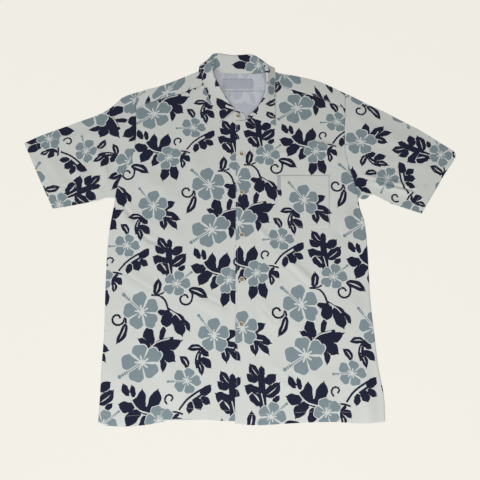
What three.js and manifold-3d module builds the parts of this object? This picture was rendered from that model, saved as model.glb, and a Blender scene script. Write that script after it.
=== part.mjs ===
// Short-sleeved hawaiian shirt, laid flat with its front up.
// Millimetres. +X runs to the wearer's left sleeve, +Y to the collar, +Z up from the surface it lies on.
// Left and right are the wearer's.

import * as THREE from "three";
import { mergeVertices } from "three/addons/utils/BufferGeometryUtils.js";
import Module from "manifold-3d";

const wasm = await Module();
wasm.setup();

// Driving dimensions

const wall = 1.2; // cloth with its turned edges
const seamGap = 0.3; // between one piece and the next
const layer = wall + seamGap; // height that each further layer adds
const foldTop = 2 * wall + seamGap; // top of cloth folded once on itself
const centreX = 4; // line of the buttons
const originShift = { x: 1.83, y: -41.167 }; // brings the middle of the whole outline to the origin

const buttonDiameter = 11.5;
const buttonHeight = 2.8;
const buttonDish = 0.9; // depth of the hollow inside the rim
const threadHole = { radius: 0.9, offset: 1.7 };

const rightFrontEdge = 17; // the under layer ends here, beside the buttons
const rampStart = 24; // the left front leaves the under layer here
const rampLength = 14;

const pocket = { left: 82, right: 203, narrow: 3, bottom: 28, top: 152 };
const pocketTab = { x: 84, width: 7, bottom: 116, top: 149, thick: 0.8 };
const neckLabel = { x: -6, width: 70, bottom: 374, top: 401, thick: 0.7 };

const yokeDrop = { centreY: 370, flatHalf: 60, fall: 25, reach: 186, power: 1.4 };

const cloth = { color: 0xa9b0b2, roughness: 0.85, metalness: 0 };
const reverse = { color: 0xb4b8c4, roughness: 0.9, metalness: 0 };
const shell = { color: 0xd9cfb8, roughness: 0.4, metalness: 0 };

// Tables: each row is a section, a seam point or a fold, under its named columns

const rows = (names, values) =>
  values.map((row) => Object.fromEntries(names.map((name, i) => [name, row[i]])));

// Widths of the body from the hem to the underarm
const bodySections = rows(["y", "right", "left"], [
  [-376, -283, 290],
  [-330, -283, 291],
  [-272, -284, 284],
  [-202, -283.5, 280],
  [-143, -286, 277],
  [-88, -288, 277],
  [-6, -289, 278],
  [40, -286, 275.5],
  [75, -282, 267],
  [98, -280, 265],
]);

// Armhole seam from the underarm to the front end of the yoke
const armholeSections = rows(["y", "right", "left"], [
  [98, -280, 265],
  [115, -278.5, 262.5],
  [134, -274.5, 259],
  [158, -264, 253],
  [183, -253, 247.5],
  [208, -245, 243.7],
  [235, -241.7, 243],
  [262, -241.3, 244],
  [290, -243, 246.5],
  [322, -245, 249],
]);

// Yoke on the front: its lower seam, and the fold along the shoulder above each point of it
const yokeSections = {
  right: rows(["seamX", "seamY", "foldX", "foldY"], [
    [-245, 322, -247, 364],
    [-222, 335, -224, 372.5],
    [-198, 343, -200, 379],
    [-172, 352, -173, 389],
    [-146, 361, -146, 401],
    [-120, 371, -120, 413],
    [-98, 381, -97, 424],
    [-79, 388, -74, 433],
  ]),
  left: rows(["seamX", "seamY", "foldX", "foldY"], [
    [249, 322, 250, 362],
    [226, 333, 227, 375],
    [202, 343, 203, 388],
    [178, 353, 179, 398],
    [152, 363, 153, 405],
    [126, 372, 127, 411],
    [101, 381, 102, 416],
    [79, 388, 78, 422],
  ]),
};

// Front necklines, from the yoke down to the corner at the centre
const neckSections = {
  right: rows(["x", "y"], [
    [-72, 376],
    [-64, 362],
    [-55, 348],
    [-44, 335],
    [-31, 324],
    [-16, 316],
    [-3, 314],
    [7, 311],
    [13, 303],
  ]),
  left: rows(["x", "y"], [
    [77, 372],
    [72, 356],
    [63, 338],
    [51, 321],
    [36, 306],
    [20, 294],
    [5, 290.5],
    [-9, 290],
  ]),
};

const backNeck = rows(["x", "y"], [
  [-60, 423.5],
  [-40, 418.5],
  [0, 417],
  [40, 417.5],
  [60, 419],
]);

// Wavy hem lines, from the side seam to the centre edge
const hemSections = {
  right: rows(["x", "y"], [
    [-283, -379],
    [-268, -384],
    [-242, -386],
    [-204, -385],
    [-166, -380],
    [-132, -372.5],
    [-90, -372],
    [-51, -375],
    [rightFrontEdge, -377],
  ]),
  left: rows(["x", "y"], [
    [289, -377],
    [262, -380],
    [235, -380.5],
    [190, -378],
    [144, -378.5],
    [75, -382],
    [29, -384],
    [-10, -381],
  ]),
};

// Sleeves: fold along the top and seam underneath, from the armhole to the cuff, and the cuff itself
const sleeveLines = {
  right: {
    top: rows(["x", "y"], [
      [-247, 364],
      [-265, 357.5],
      [-282, 348],
      [-299, 329],
      [-325, 309],
      [-381, 285],
      [-424, 267],
      [-467, 249],
      [-499, 232],
    ]),
    under: rows(["x", "y"], [
      [-280, 98],
      [-290, 98.5],
      [-301, 98],
      [-318, 92],
      [-356, 84],
      [-396, 76],
      [-418, 73],
    ]),
    cuff: rows(["x", "y"], [
      [-499, 232],
      [-479.5, 193],
      [-459, 152.5],
      [-438, 112],
      [-418, 73],
    ]),
  },
  left: {
    top: rows(["x", "y"], [
      [250, 362],
      [262, 356],
      [298, 335],
      [337, 314],
      [378, 289.5],
      [420, 264],
      [460, 235],
      [490, 213.5],
    ]),
    under: rows(["x", "y"], [
      [265, 98],
      [272, 95.5],
      [280, 95],
      [288, 100],
      [296, 106.5],
      [305, 103],
      [339, 84],
      [370, 73],
      [404, 61],
    ]),
    cuff: rows(["x", "y"], [
      [490, 213.5],
      [495.5, 204],
      [490, 190],
      [463, 152],
      [433, 105],
      [404, 61],
    ]),
  },
};

// Soft folds in the top layer: a ridge from (x1, y1) to (x2, y2), half as wide as width, height above the rest
const creases = rows(["x1", "y1", "x2", "y2", "width", "height"], [
  [-262, 72, -196, -12, 15, 4.2],
  [-250, -76, -186, -114, 14, 3.2],
  [-90, -124, -18, -156, 13, 3],
  [-215, 150, -150, 96, 20, 2.4],
  [-170, -250, -120, -330, 22, 2.6],
  [-235, -300, -225, -392, 20, 4],
  [-110, -320, -112, -392, 22, 2.6],
  [-205, 40, -140, 10, 18, 2],
  [-110, 190, -70, 90, 22, 2],
  [60, -2, 22, 34, 11, 2.4],
  [92, -44, 150, -104, 14, 3.6],
  [42, -146, 78, -184, 12, 2.6],
  [70, -278, 100, -308, 12, 2.6],
  [186, 225, 240, 206, 13, 3.4],
  [92, 202, 216, 199, 11, 1.8],
  [258, 60, 210, 2, 15, 3.6],
  [240, -150, 190, -230, 20, 2.6],
  [160, -300, 150, -392, 22, 2.8],
  [250, -280, 262, -384, 18, 3],
  [225, -20, 180, -90, 18, 2.2],
]);

const sleeveCreases = {
  right: rows(["x1", "y1", "x2", "y2", "width", "height"], [
    [-288, 112, -322, 200, 13, 4],
    [-310, 108, -372, 160, 13, 3.4],
    [-262, 250, -300, 290, 16, 2.6],
    [-400, 110, -440, 190, 20, 2.6],
    [-350, 250, -420, 232, 16, 2.4],
  ]),
  left: rows(["x1", "y1", "x2", "y2", "width", "height"], [
    [283, 142, 378, 112, 12, 4.4],
    [270, 170, 312, 232, 14, 3.2],
    [330, 250, 400, 222, 18, 2.6],
    [400, 110, 440, 170, 18, 2.6],
    [262, 300, 300, 270, 15, 2.2],
  ]),
};

// Collar, from the wearer's right leaf point round the back to the left one. Each row is a section of the
// middle of the cloth: the seam on the neckline, the roll, the leaf's edge, the turn's radius, and the way it
// turns: 90 over the front, -90 under the back.
const collarSections = rows(
  ["seamX", "seamY", "seamZ", "rollX", "rollY", "rollZ", "edgeX", "edgeY", "edgeZ", "radius", "turn"],
  [
    [-17, 315.5, 3.6, -13, 318, 4.0, -52, 282, 3.7, 1.4, 90],
    [-30, 325, 3.6, -23, 328, 4.4, -60, 309, 3.7, 1.6, 90],
    [-43, 336.5, 3.6, -31, 341, 4.8, -68, 335, 3.7, 1.8, 90],
    [-54, 350, 3.6, -41, 358, 5.5, -76, 357, 3.7, 2.1, 90],
    [-63, 366, 3.6, -52, 378, 6.4, -84, 379, 3.7, 2.5, 88],
    [-71, 382, 3.6, -61, 397, 7.4, -92, 400, 3.7, 3.0, 80],
    [-75, 402, 3.6, -65, 415, 8.6, -99, 421, 3.7, 3.6, 62],
    [-76, 419, 3.6, -64, 436, 10, -97, 436, 3.2, 4.2, 35],
    [-71, 431, 3.6, -62, 453, 11.4, -86, 446, 2.0, 4.8, -5],
    [-61, 428, 3.2, -52, 460, 12.2, -70, 443, 0.9, 5.2, -55],
    [-44, 418, 2.5, -38, 459, 12.6, -47, 431, 0.7, 5.4, -82],
    [-22, 415.5, 2.1, -18, 456.5, 12.6, -22, 423, 0.7, 5.4, -90],
    [4, 415, 2.1, 4, 457, 12.6, 4, 422, 0.7, 5.4, -90],
    [26, 415.5, 2.1, 22, 458.5, 12.6, 28, 423, 0.7, 5.4, -88],
    [45, 417, 2.5, 38, 454, 12.6, 51, 429, 0.8, 5.2, -75],
    [61, 419, 3.2, 51, 441, 12.6, 72, 434, 1.6, 4.8, -40],
    [72, 418, 3.6, 59, 426, 12.8, 83, 430, 3.0, 4.4, 5],
    [75, 408, 3.6, 63, 411, 12.6, 85, 418, 3.7, 3.8, 50],
    [76, 393, 3.6, 65, 395, 11.8, 85.5, 401, 3.7, 3.2, 75],
    [75, 374, 3.6, 64.5, 375, 10.4, 84, 379, 3.7, 2.8, 86],
    [70, 356, 3.6, 61, 357, 8.8, 83.5, 357, 3.7, 2.4, 90],
    [61, 339, 3.6, 54.5, 340, 7.2, 83, 335, 3.7, 2.0, 90],
    [48, 322.5, 3.6, 43.5, 322, 5.8, 83, 313, 3.7, 1.8, 90],
    [34, 308, 3.6, 30.5, 308, 4.8, 83, 293, 3.7, 1.6, 90],
    [22, 298.5, 3.6, 19, 298, 4.2, 83, 277, 3.7, 1.4, 90],
  ],
);

const buttonSections = rows(["x", "y", "base"], [
  [-4, 300, foldTop + seamGap],
  [3.5, 203, foldTop + layer + seamGap],
  [4, 110, foldTop + layer + seamGap],
  [4, 10, foldTop + layer + seamGap],
  [4, -89, foldTop + layer + seamGap],
  [3.5, -184, foldTop + layer + seamGap],
]);

// Shared shape functions

const clamp01 = (t) => Math.min(1, Math.max(0, t));
const ease = (t) => clamp01(t) ** 2 * (3 - 2 * clamp01(t));
const mix = (a, b, t) => a + (b - a) * t;

// Value of a column at a height, between the rows of a table of sections
function sectionAt(sections, column, y) {
  const next = sections.findIndex((row) => row.y >= y);
  if (next === 0) return sections[0][column];
  if (next < 0) return sections[sections.length - 1][column];
  const [a, b] = [sections[next - 1], sections[next]];
  return mix(a[column], b[column], (y - a.y) / (b.y - a.y));
}

// Height of soft folds at a point: each is a rounded ridge that dies away at its two ends
function ridges(table, x, y) {
  let height = 0;
  for (const fold of table) {
    const along = new THREE.Vector2(fold.x2 - fold.x1, fold.y2 - fold.y1);
    const length = along.length();
    along.divideScalar(length);
    const [dx, dy] = [x - fold.x1, y - fold.y1];
    const t = (dx * along.x + dy * along.y) / length;
    const off = (dx * along.y - dy * along.x) / fold.width;
    const past = Math.max(0, Math.abs(t - 0.5) - 0.5) * (length / fold.width);
    height += fold.height * Math.exp(-off * off - past * past);
  }
  return height;
}

// How far the front lies above the back at a point: nothing at the seams, the neck and the button line, and
// little under the pocket
function bodyLift(x, y) {
  const outline = y > bodySections.at(-1).y ? armholeSections : bodySections;
  const toSide = Math.min(x - sectionAt(outline, "right", y), sectionAt(outline, "left", y) - x);
  const fromCentre = Math.abs(x - centreX) - rampStart;
  const fromPocket = Math.max(pocket.left - x, x - pocket.right, pocket.bottom - y, y - pocket.top);
  const wave = 0.5 + 0.5 * Math.sin(x / 41 + Math.sin(y / 63)) * Math.cos(y / 57);
  const free = ease((toSide - 4) / 32) * ease(fromCentre / 22) * ease((278 - y) / 46);
  return free * mix(0.12, 1, ease((fromPocket - 5) / 30)) * (0.9 * wave + ridges(creases, x, y));
}

const rightUnderside = (x, y) => layer + bodyLift(x, y);

function leftUnderside(x, y) {
  const raised = layer * (1 - ease((x - rampStart) / rampLength));
  return layer + raised + bodyLift(x, y);
}

const leftTop = (x, y) => leftUnderside(x, y) + wall;

// Lines in plan

const toPoints = (table) => table.map((row) => new THREE.Vector2(row.x, row.y));

const curveThrough = (points) =>
  new THREE.CatmullRomCurve3(points.map((p) => new THREE.Vector3(p.x, p.y, 0)), false, "centripetal");

const spaced = (points, count) =>
  curveThrough(points)
    .getSpacedPoints(count)
    .map((p) => new THREE.Vector2(p.x, p.y));

// Fractions of the length of a line at its points
function fractions(points) {
  const lengths = [0];
  points.slice(1).forEach((p, i) => lengths.push(lengths[i] + p.distanceTo(points[i])));
  return lengths.map((length) => length / lengths.at(-1));
}

// A line with its points moved to the given fractions of its length
function matched(points, at) {
  const curve = curveThrough(points);
  return at.map((t) => {
    const p = curve.getPointAt(t);
    return new THREE.Vector2(p.x, p.y);
  });
}

// Grid in plan that fills the space inside four boundary lines: start and end run from bottom to top
function patch(bottom, top, start, end) {
  const us = fractions(top);
  const vs = fractions(start);
  return vs.map((v, j) =>
    us.map((u, i) => {
      const across = bottom[i].clone().lerp(top[i], v);
      const along = start[j].clone().lerp(end[j], u);
      const low = bottom[0].clone().lerp(bottom.at(-1), u);
      const high = top[0].clone().lerp(top.at(-1), u);
      return across.add(along).sub(low.lerp(high, v));
    }),
  );
}

// Solids

// Closed mesh from its vertices and faces, turned so that its faces point out
function closedMesh(vertices, faces) {
  let volume = 0;
  const cross = new THREE.Vector3();
  for (const [a, b, c] of faces) volume += vertices[a].dot(cross.crossVectors(vertices[b], vertices[c]));
  const index = faces.flatMap(([a, b, c]) => (volume < 0 ? [a, c, b] : [a, b, c]));
  const geometry = new THREE.BufferGeometry().setFromPoints(vertices);
  geometry.setIndex(index);
  return geometry;
}

const quad = (a, b, c, d) => [[a, b, c], [a, c, d]];

// Wall between two grids of the same size, with its four edges closed
function wallBetween(upper, lower) {
  const [high, wide] = [upper.length, upper[0].length];
  const vertices = [...upper.flat(), ...lower.flat()];
  const under = high * wide;
  const at = (j, i) => j * wide + i;
  const faces = [];
  for (let j = 0; j + 1 < high; j++) {
    for (let i = 0; i + 1 < wide; i++) {
      faces.push(...quad(at(j, i), at(j, i + 1), at(j + 1, i + 1), at(j + 1, i)));
      faces.push(...quad(under + at(j, i), under + at(j + 1, i), under + at(j + 1, i + 1), under + at(j, i + 1)));
    }
  }
  const rim = [];
  for (let i = 0; i + 1 < wide; i++) rim.push(at(0, i));
  for (let j = 0; j + 1 < high; j++) rim.push(at(j, wide - 1));
  for (let i = wide - 1; i > 0; i--) rim.push(at(high - 1, i));
  for (let j = high - 1; j > 0; j--) rim.push(at(j, 0));
  rim.forEach((a, k) => {
    const b = rim[(k + 1) % rim.length];
    faces.push(...quad(a, under + a, under + b, b));
  });
  return closedMesh(vertices, faces);
}

// Flat-laid panel: a grid in plan, a height for its underside and the wall above it
function panel(grid, underside, thickness = wall) {
  const raise = (extra) =>
    grid.map((row) => row.map((p) => new THREE.Vector3(p.x, p.y, underside(p.x, p.y) + extra)));
  return wallBetween(raise(thickness), raise(0));
}

// Open tube from rings of points outside and inside, with the wall closed at both mouths
function openTube(outer, inner) {
  const [count, round] = [outer.length, outer[0].length];
  const vertices = [...outer.flat(), ...inner.flat()];
  const inside = count * round;
  const at = (j, i) => j * round + (i % round);
  const faces = [];
  for (let i = 0; i < round; i++) {
    for (let j = 0; j + 1 < count; j++) {
      faces.push(...quad(at(j, i), at(j, i + 1), at(j + 1, i + 1), at(j + 1, i)));
      faces.push(...quad(inside + at(j, i), inside + at(j + 1, i), inside + at(j + 1, i + 1), inside + at(j, i + 1)));
    }
    const far = count - 1;
    faces.push(...quad(at(0, i), inside + at(0, i), inside + at(0, i + 1), at(0, i + 1)));
    faces.push(...quad(at(far, i), at(far, i + 1), inside + at(far, i + 1), inside + at(far, i)));
  }
  return closedMesh(vertices, faces);
}

// Solid through closed sections of the same flat outline, capped at both ends
function loft(sections, outline) {
  const round = outline.length;
  const last = (sections.length - 1) * round;
  const faces = [];
  for (let j = 0; j + 1 < sections.length; j++) {
    for (let i = 0; i < round; i++) {
      const [a, b] = [j * round + i, j * round + ((i + 1) % round)];
      faces.push(...quad(a, b, b + round, a + round));
    }
  }
  const turning = Math.sign(THREE.ShapeUtils.area(outline));
  for (const corners of THREE.ShapeUtils.triangulateShape(outline, [])) {
    const same = Math.sign(THREE.ShapeUtils.area(corners.map((k) => outline[k]))) === turning;
    const [a, b, c] = same ? corners : corners.toReversed();
    faces.push([c, b, a], [last + a, last + b, last + c]);
  }
  return closedMesh(sections.flat(), faces);
}

function toSolid(geometry) {
  const bare = geometry.clone();
  bare.deleteAttribute("normal");
  bare.deleteAttribute("uv");
  const merged = mergeVertices(bare, 1e-4);
  const mesh = { numProp: 3, vertProperties: merged.attributes.position.array };
  mesh.triVerts = new Uint32Array(merged.index.array);
  return new wasm.Manifold(new wasm.Mesh(mesh));
}

function toGeometry(solid) {
  const mesh = solid.getMesh();
  const geometry = new THREE.BufferGeometry();
  geometry.setAttribute("position", new THREE.BufferAttribute(new Float32Array(mesh.vertProperties), 3));
  geometry.setIndex(new THREE.BufferAttribute(new Uint32Array(mesh.triVerts), 1));
  return geometry;
}

// Pieces

const sideRows = 20;

const sidePoints = (side) => toPoints(bodySections.map((row) => ({ x: row[side], y: row.y })));
const armholePoints = (side) => toPoints(armholeSections.map((row) => ({ x: row[side], y: row.y })));

// Side seam and armhole from a hem corner up to the yoke
function outerEdge(side, hemY) {
  const seam = sidePoints(side);
  seam[0] = new THREE.Vector2(seam[0].x, hemY);
  return [...spaced(seam, sideRows), ...armholePoints(side).slice(1)];
}

function frontGrid(side, centreEdge) {
  const hem = toPoints(hemSections[side]);
  const start = outerEdge(side, hem[0].y);
  const yokeSeam = toPoints(yokeSections[side].map((row) => ({ x: row.seamX, y: row.seamY })));
  const top = [...yokeSeam, ...toPoints(neckSections[side])];
  const bottom = matched(hem, fractions(top));
  bottom[0] = start[0].clone();
  const end = matched([bottom.at(-1), ...centreEdge, top.at(-1)], fractions(start));
  return patch(bottom, top, start, end);
}

function backYokeSeam(count) {
  const right = armholeSections.at(-1).right - 0.5;
  const left = armholeSections.at(-1).left + 0.5;
  return Array.from({ length: count + 1 }, (_, i) => {
    const x = mix(right, left, i / count);
    const out = Math.max(0, Math.abs(x - centreX) - yokeDrop.flatHalf) / yokeDrop.reach;
    return new THREE.Vector2(x, yokeDrop.centreY - yokeDrop.fall * out ** yokeDrop.power);
  });
}

function backPanel() {
  const columns = 12;
  const tuck = 2; // the back's hem lies this far inside the front's
  const hemY = hemSections.right[0].y + tuck;
  const top = backYokeSeam(columns);
  const start = [...outerEdge("right", hemY), top[0]];
  const end = [...outerEdge("left", hemY), top.at(-1)];
  const bottom = matched([start[0], new THREE.Vector2(0, hemY + 4), end[0]], fractions(top));
  return panel(patch(bottom, top, start, end), () => 0);
}

// Section of the shoulder fold: distance in from the fold, height, for the outside and then the inside
function shoulderOutline(backReach, frontReach) {
  const turn = foldTop / 2;
  const nook = wall + 0.25;
  return [
    [backReach, 0],
    [turn, 0],
    [0.3 * turn, 0.3 * turn],
    [0, turn],
    [0.3 * turn, foldTop - 0.3 * turn],
    [turn, foldTop],
    [frontReach / 2, foldTop],
    [frontReach, foldTop],
    [frontReach, layer],
    [frontReach / 2, layer],
    [nook + 0.25, layer],
    [nook, turn],
    [nook + 0.25, wall],
    [backReach, wall],
  ].map(([reach, z]) => new THREE.Vector2(reach, z));
}

// One piece: the back of the yoke, and a flap folded over each shoulder down to the front seam
function yoke() {
  const backReach = 12;
  const overlap = 6;
  const flaps = ["right", "left"].map((side) => {
    const sections = yokeSections[side].map((row) => {
      const fold = new THREE.Vector2(row.foldX, row.foldY);
      const down = new THREE.Vector2(row.seamX, row.seamY + seamGap).sub(fold);
      const reach = down.length();
      down.normalize();
      return shoulderOutline(backReach, reach).map(
        (p) => new THREE.Vector3(fold.x + down.x * p.x, fold.y + down.y * p.x, p.y),
      );
    });
    return loft(sections, shoulderOutline(backReach, 40));
  });
  const inset = (side) =>
    yokeSections[side].map((row) => {
      const fold = new THREE.Vector2(row.foldX, row.foldY);
      const down = new THREE.Vector2(row.seamX, row.seamY).sub(fold).normalize();
      return fold.addScaledVector(down, overlap);
    });
  const top = [...inset("right"), ...toPoints(backNeck), ...inset("left").reverse()];
  const seam = backYokeSeam(40).map((p) => new THREE.Vector2(p.x, p.y + seamGap));
  const bottom = matched(seam, fractions(top));
  const ends = (a, b) => [a.clone(), a.clone().lerp(b, 0.5), b.clone()];
  const start = ends(bottom[0], top[0]);
  const end = ends(bottom.at(-1), top.at(-1));
  const back = panel(patch(bottom, top, start, end), () => 0);
  return toGeometry(toSolid(back).add(toSolid(flaps[0])).add(toSolid(flaps[1])));
}

// Flattened tube between the fold along its top and the seam underneath, open at the armhole and the cuff
function sleeve(side) {
  const stations = 12;
  const outward = side === "left" ? 1 : -1;
  const lines = sleeveLines[side];
  const yokeEnd = yokeSections[side][0];
  const armhole = [
    new THREE.Vector2(yokeEnd.foldX, yokeEnd.foldY),
    new THREE.Vector2(mix(yokeEnd.foldX, yokeEnd.seamX, 0.5), mix(yokeEnd.foldY, yokeEnd.seamY, 0.5)),
    ...armholePoints(side).reverse(),
  ].map((p) => new THREE.Vector2(p.x + outward * 1.5 * seamGap, p.y));
  const start = spaced([armhole[0], ...toPoints(lines.top).slice(1)], stations);
  const end = spaced([armhole.at(-1), ...toPoints(lines.under).slice(1)], stations);
  const cuff = matched(toPoints(lines.cuff), fractions(armhole));
  const grid = patch(armhole, cuff, start, end);

  const turn = foldTop / 2;
  const liftAt = (p, i, j) => {
    const free = ease(j / 3) * ease(i / 2.2) * ease((armhole.length - 1 - i) / 2.2);
    return free * (0.8 + ridges(sleeveCreases[side], p.x, p.y));
  };
  // Ring of one station: along the top layer, then back along the lower one, the folds drawn in by inset
  const ring = (row, j, inset, topDown, bottomUp) => {
    const near = (a, b, reach) => a.clone().lerp(b, reach / a.distanceTo(b));
    const last = row.length - 1;
    const folds = [near(row[0], row[1], inset), near(row[last], row[last - 1], inset)];
    const beside = [near(row[0], row[1], inset + turn), near(row[last], row[last - 1], inset + turn)];
    const middle = row.slice(1, last);
    const upper = middle.map((p, i) => new THREE.Vector3(p.x, p.y, foldTop - topDown + liftAt(p, i + 1, j)));
    const lower = middle.map((p) => new THREE.Vector3(p.x, p.y, bottomUp)).reverse();
    const lift = (p, z) => new THREE.Vector3(p.x, p.y, z);
    return [
      lift(folds[0], turn),
      lift(beside[0], foldTop - topDown),
      ...upper,
      lift(beside[1], foldTop - topDown),
      lift(folds[1], turn),
      lift(beside[1], bottomUp),
      ...lower,
      lift(beside[0], bottomUp),
    ];
  };
  const outer = grid.map((row, j) => ring(row, j, 0, 0, 0));
  const inner = grid.map((row, j) => ring(row, j, wall + seamGap / 2, wall, wall));
  return openTube(outer, inner);
}

// Folded strip: from the neck seam up its band, round the roll and down the leaf to its edge
function collar() {
  const columns = Object.keys(collarSections[0]);
  const curves = {};
  for (let k = 0; k < columns.length; k += 3) {
    const names = columns.slice(k, k + 3);
    const points = collarSections.map((row) => new THREE.Vector3(...names.map((name) => row[name] ?? 0)));
    curves[names[0]] = new THREE.CatmullRomCurve3(points, false, "catmullrom", 0.5);
  }
  const count = 40;
  const bandSteps = 3;
  const turnSteps = 4;
  const leafSteps = 4;
  const middle = [];
  for (let k = 0; k <= count; k++) {
    const t = k / count;
    const seam = curves.seamX.getPoint(t);
    const roll = curves.rollX.getPoint(t);
    const edge = curves.edgeX.getPoint(t);
    const { x: radius, y: degrees } = curves.radius.getPoint(t);
    const turn = THREE.MathUtils.degToRad(degrees);
    const out = roll.clone().sub(seam).setZ(0).normalize();
    const across = edge.clone().sub(seam).setZ(0).normalize();
    const over = across.multiplyScalar(Math.cos(turn)).setZ(Math.sin(turn)).normalize();
    const centre = roll.clone().addScaledVector(over, radius);
    const leafStart = roll.clone().addScaledVector(over, 2 * radius);
    const section = [];
    for (let i = 0; i < bandSteps; i++) section.push(seam.clone().lerp(roll, i / bandSteps));
    for (let i = 0; i <= turnSteps; i++) {
      const angle = (Math.PI * i) / turnSteps;
      const bulge = radius * Math.sin(angle);
      section.push(centre.clone().addScaledVector(over, -radius * Math.cos(angle)).addScaledVector(out, bulge));
    }
    for (let i = 1; i <= leafSteps; i++) {
      const s = i / leafSteps;
      const p = leafStart.clone().lerp(edge, s);
      p.z = edge.z + (leafStart.z - edge.z) * (1 - s) ** 1.5;
      section.push(p);
    }
    middle.push(section);
  }
  const offset = (sign) =>
    middle.map((section, j) =>
      section.map((p, i) => {
        const [before, after] = [middle[Math.max(0, j - 1)][i], middle[Math.min(count, j + 1)][i]];
        const [inner, outer] = [section[Math.max(0, i - 1)], section[Math.min(section.length - 1, i + 1)]];
        const normal = after.clone().sub(before).cross(outer.clone().sub(inner)).normalize();
        return p.clone().addScaledVector(normal, (sign * wall) / 2);
      }),
    );
  return wallBetween(offset(1), offset(-1));
}

function rectangleGrid(left, right, bottom, top, columns, rowCount, narrow = 0) {
  return Array.from({ length: rowCount + 1 }, (_, j) =>
    Array.from({ length: columns + 1 }, (_, i) => {
      const v = j / rowCount;
      const pull = (1 - v) * narrow;
      return new THREE.Vector2(mix(left - pull * 0.6, right - pull * 1.6, i / columns), mix(bottom, top, v));
    }),
  );
}

const pocketUnderside = (x, y) => leftTop(x, y) + seamGap;

function pocketPatch() {
  const { left, right, bottom, top, narrow } = pocket;
  return panel(rectangleGrid(left, right, bottom, top, 9, 9, narrow), pocketUnderside);
}

function tabOnPocket() {
  const { x, width, bottom, top, thick } = pocketTab;
  return panel(rectangleGrid(x, x + width, bottom, top, 1, 3), (a, b) => pocketUnderside(a, b) + layer, thick);
}

function labelInNeck() {
  const { x, width, bottom, top, thick } = neckLabel;
  return panel(rectangleGrid(x - width / 2, x + width / 2, bottom, top, 1, 1), () => layer, thick);
}

// Turned disc with a raised rim, and four holes for the thread
function button() {
  const radius = buttonDiameter / 2;
  const profile = [
    [0, 0],
    [0.78 * radius, 0],
    [radius, 0.35 * buttonHeight],
    [0.98 * radius, 0.75 * buttonHeight],
    [0.86 * radius, buttonHeight],
    [0.7 * radius, 0.92 * buttonHeight],
    [0.52 * radius, buttonHeight - buttonDish],
    [0, buttonHeight - buttonDish],
  ].map(([r, z]) => new THREE.Vector2(r, z));
  const turned = new THREE.LatheGeometry(profile, 14);
  turned.rotateX(Math.PI / 2);
  let solid = toSolid(turned);
  for (let k = 0; k < 4; k++) {
    const angle = (k + 0.5) * (Math.PI / 2);
    const hole = new THREE.CylinderGeometry(threadHole.radius, threadHole.radius, 3 * buttonHeight, 6);
    hole.rotateX(Math.PI / 2);
    const reach = threadHole.offset;
    hole.translate(reach * Math.cos(angle), reach * Math.sin(angle), 0);
    solid = solid.subtract(toSolid(hole));
  }
  return toGeometry(solid);
}

// The shirt

const shirt = new THREE.Group();
const pieces = new THREE.Group();
pieces.position.set(originShift.x, originShift.y, 0);
shirt.add(pieces);

function addPiece(name, geometry, look) {
  const mesh = new THREE.Mesh(geometry, new THREE.MeshStandardMaterial(look));
  mesh.name = name;
  pieces.add(mesh);
  return mesh;
}

addPiece("back_panel", backPanel(), cloth);
addPiece("yoke", yoke(), cloth);
addPiece("front_right", panel(frontGrid("right", [new THREE.Vector2(rightFrontEdge, 200)]), rightUnderside), cloth);
addPiece("front_left", panel(frontGrid("left", []), leftUnderside), cloth);
addPiece("sleeve_right", sleeve("right"), cloth);
addPiece("sleeve_left", sleeve("left"), cloth);
addPiece("collar", collar(), cloth);
addPiece("pocket", pocketPatch(), cloth);
addPiece("pocket_tab", tabOnPocket(), reverse);
addPiece("neck_label", labelInNeck(), reverse);
buttonSections.forEach((place, i) => {
  addPiece(`button_${i + 1}`, button(), shell).position.set(place.x, place.y, place.base);
});

export default shirt;
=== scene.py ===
# Short-sleeved hawaiian shirt, laid flat with its front up.
# Shapes are worked out in millimetres in the plan of the cut pieces, then put into the mesh in metres.
# Left and right are the wearer's.

from functools import partialmethod
from math import cos, pi, radians, sin

import bpy
import numpy as np
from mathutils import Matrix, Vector
from mathutils.bvhtree import BVHTree


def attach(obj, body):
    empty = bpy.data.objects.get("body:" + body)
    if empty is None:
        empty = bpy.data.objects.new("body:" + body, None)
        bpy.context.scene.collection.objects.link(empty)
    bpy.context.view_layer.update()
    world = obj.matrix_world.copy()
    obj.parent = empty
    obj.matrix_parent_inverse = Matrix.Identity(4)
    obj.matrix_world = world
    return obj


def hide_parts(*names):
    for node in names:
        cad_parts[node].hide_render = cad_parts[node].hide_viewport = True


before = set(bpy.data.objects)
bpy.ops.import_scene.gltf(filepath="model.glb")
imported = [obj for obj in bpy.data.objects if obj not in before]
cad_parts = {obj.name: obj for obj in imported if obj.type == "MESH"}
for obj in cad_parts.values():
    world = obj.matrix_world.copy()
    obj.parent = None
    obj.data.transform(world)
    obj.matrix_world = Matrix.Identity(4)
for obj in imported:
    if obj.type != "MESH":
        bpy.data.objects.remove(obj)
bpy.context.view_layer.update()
print("frame loaded, nodes:", len(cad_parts))

# Camera and light

camera = {
    "aim": (0.00183, -0.0412, 0.0),
    "place": (0.00183, -0.3502, 1.0994),
    "lens": 39.0,
    "sensor": 36.0,
    "farthest": 50,
}

studio = {
    "floorColour": (0.896, 0.871, 0.806),
    "floorGlow": 0.90,  # share of the floor's brightness that shadows can't take away
    "floorSize": 6.0,
    "floorGap": 0.0003,
    "world": 0.30,
    # name, place, aim, width, watts
    "lamps": [
        ("softbox_front", (0.05, -1.25, 1.60), (0.0, -0.25, 0.0), 0.9, 24.0),
        ("softbox_side", (-2.90, 0.30, 1.70), (0.0, 0.0, 0.0), 1.2, 28.0),
    ],
}


def addObject(name, data):
    made = bpy.data.objects.new(name, data)
    bpy.context.scene.collection.objects.link(made)
    return made


def aimAt(thing, place, aim):
    # a camera or lamp looks down its own -Z, from its place to the aim
    thing.location = place
    thing.rotation_euler = (Vector(aim) - thing.location).to_track_quat("-Z", "Y").to_euler()


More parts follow.
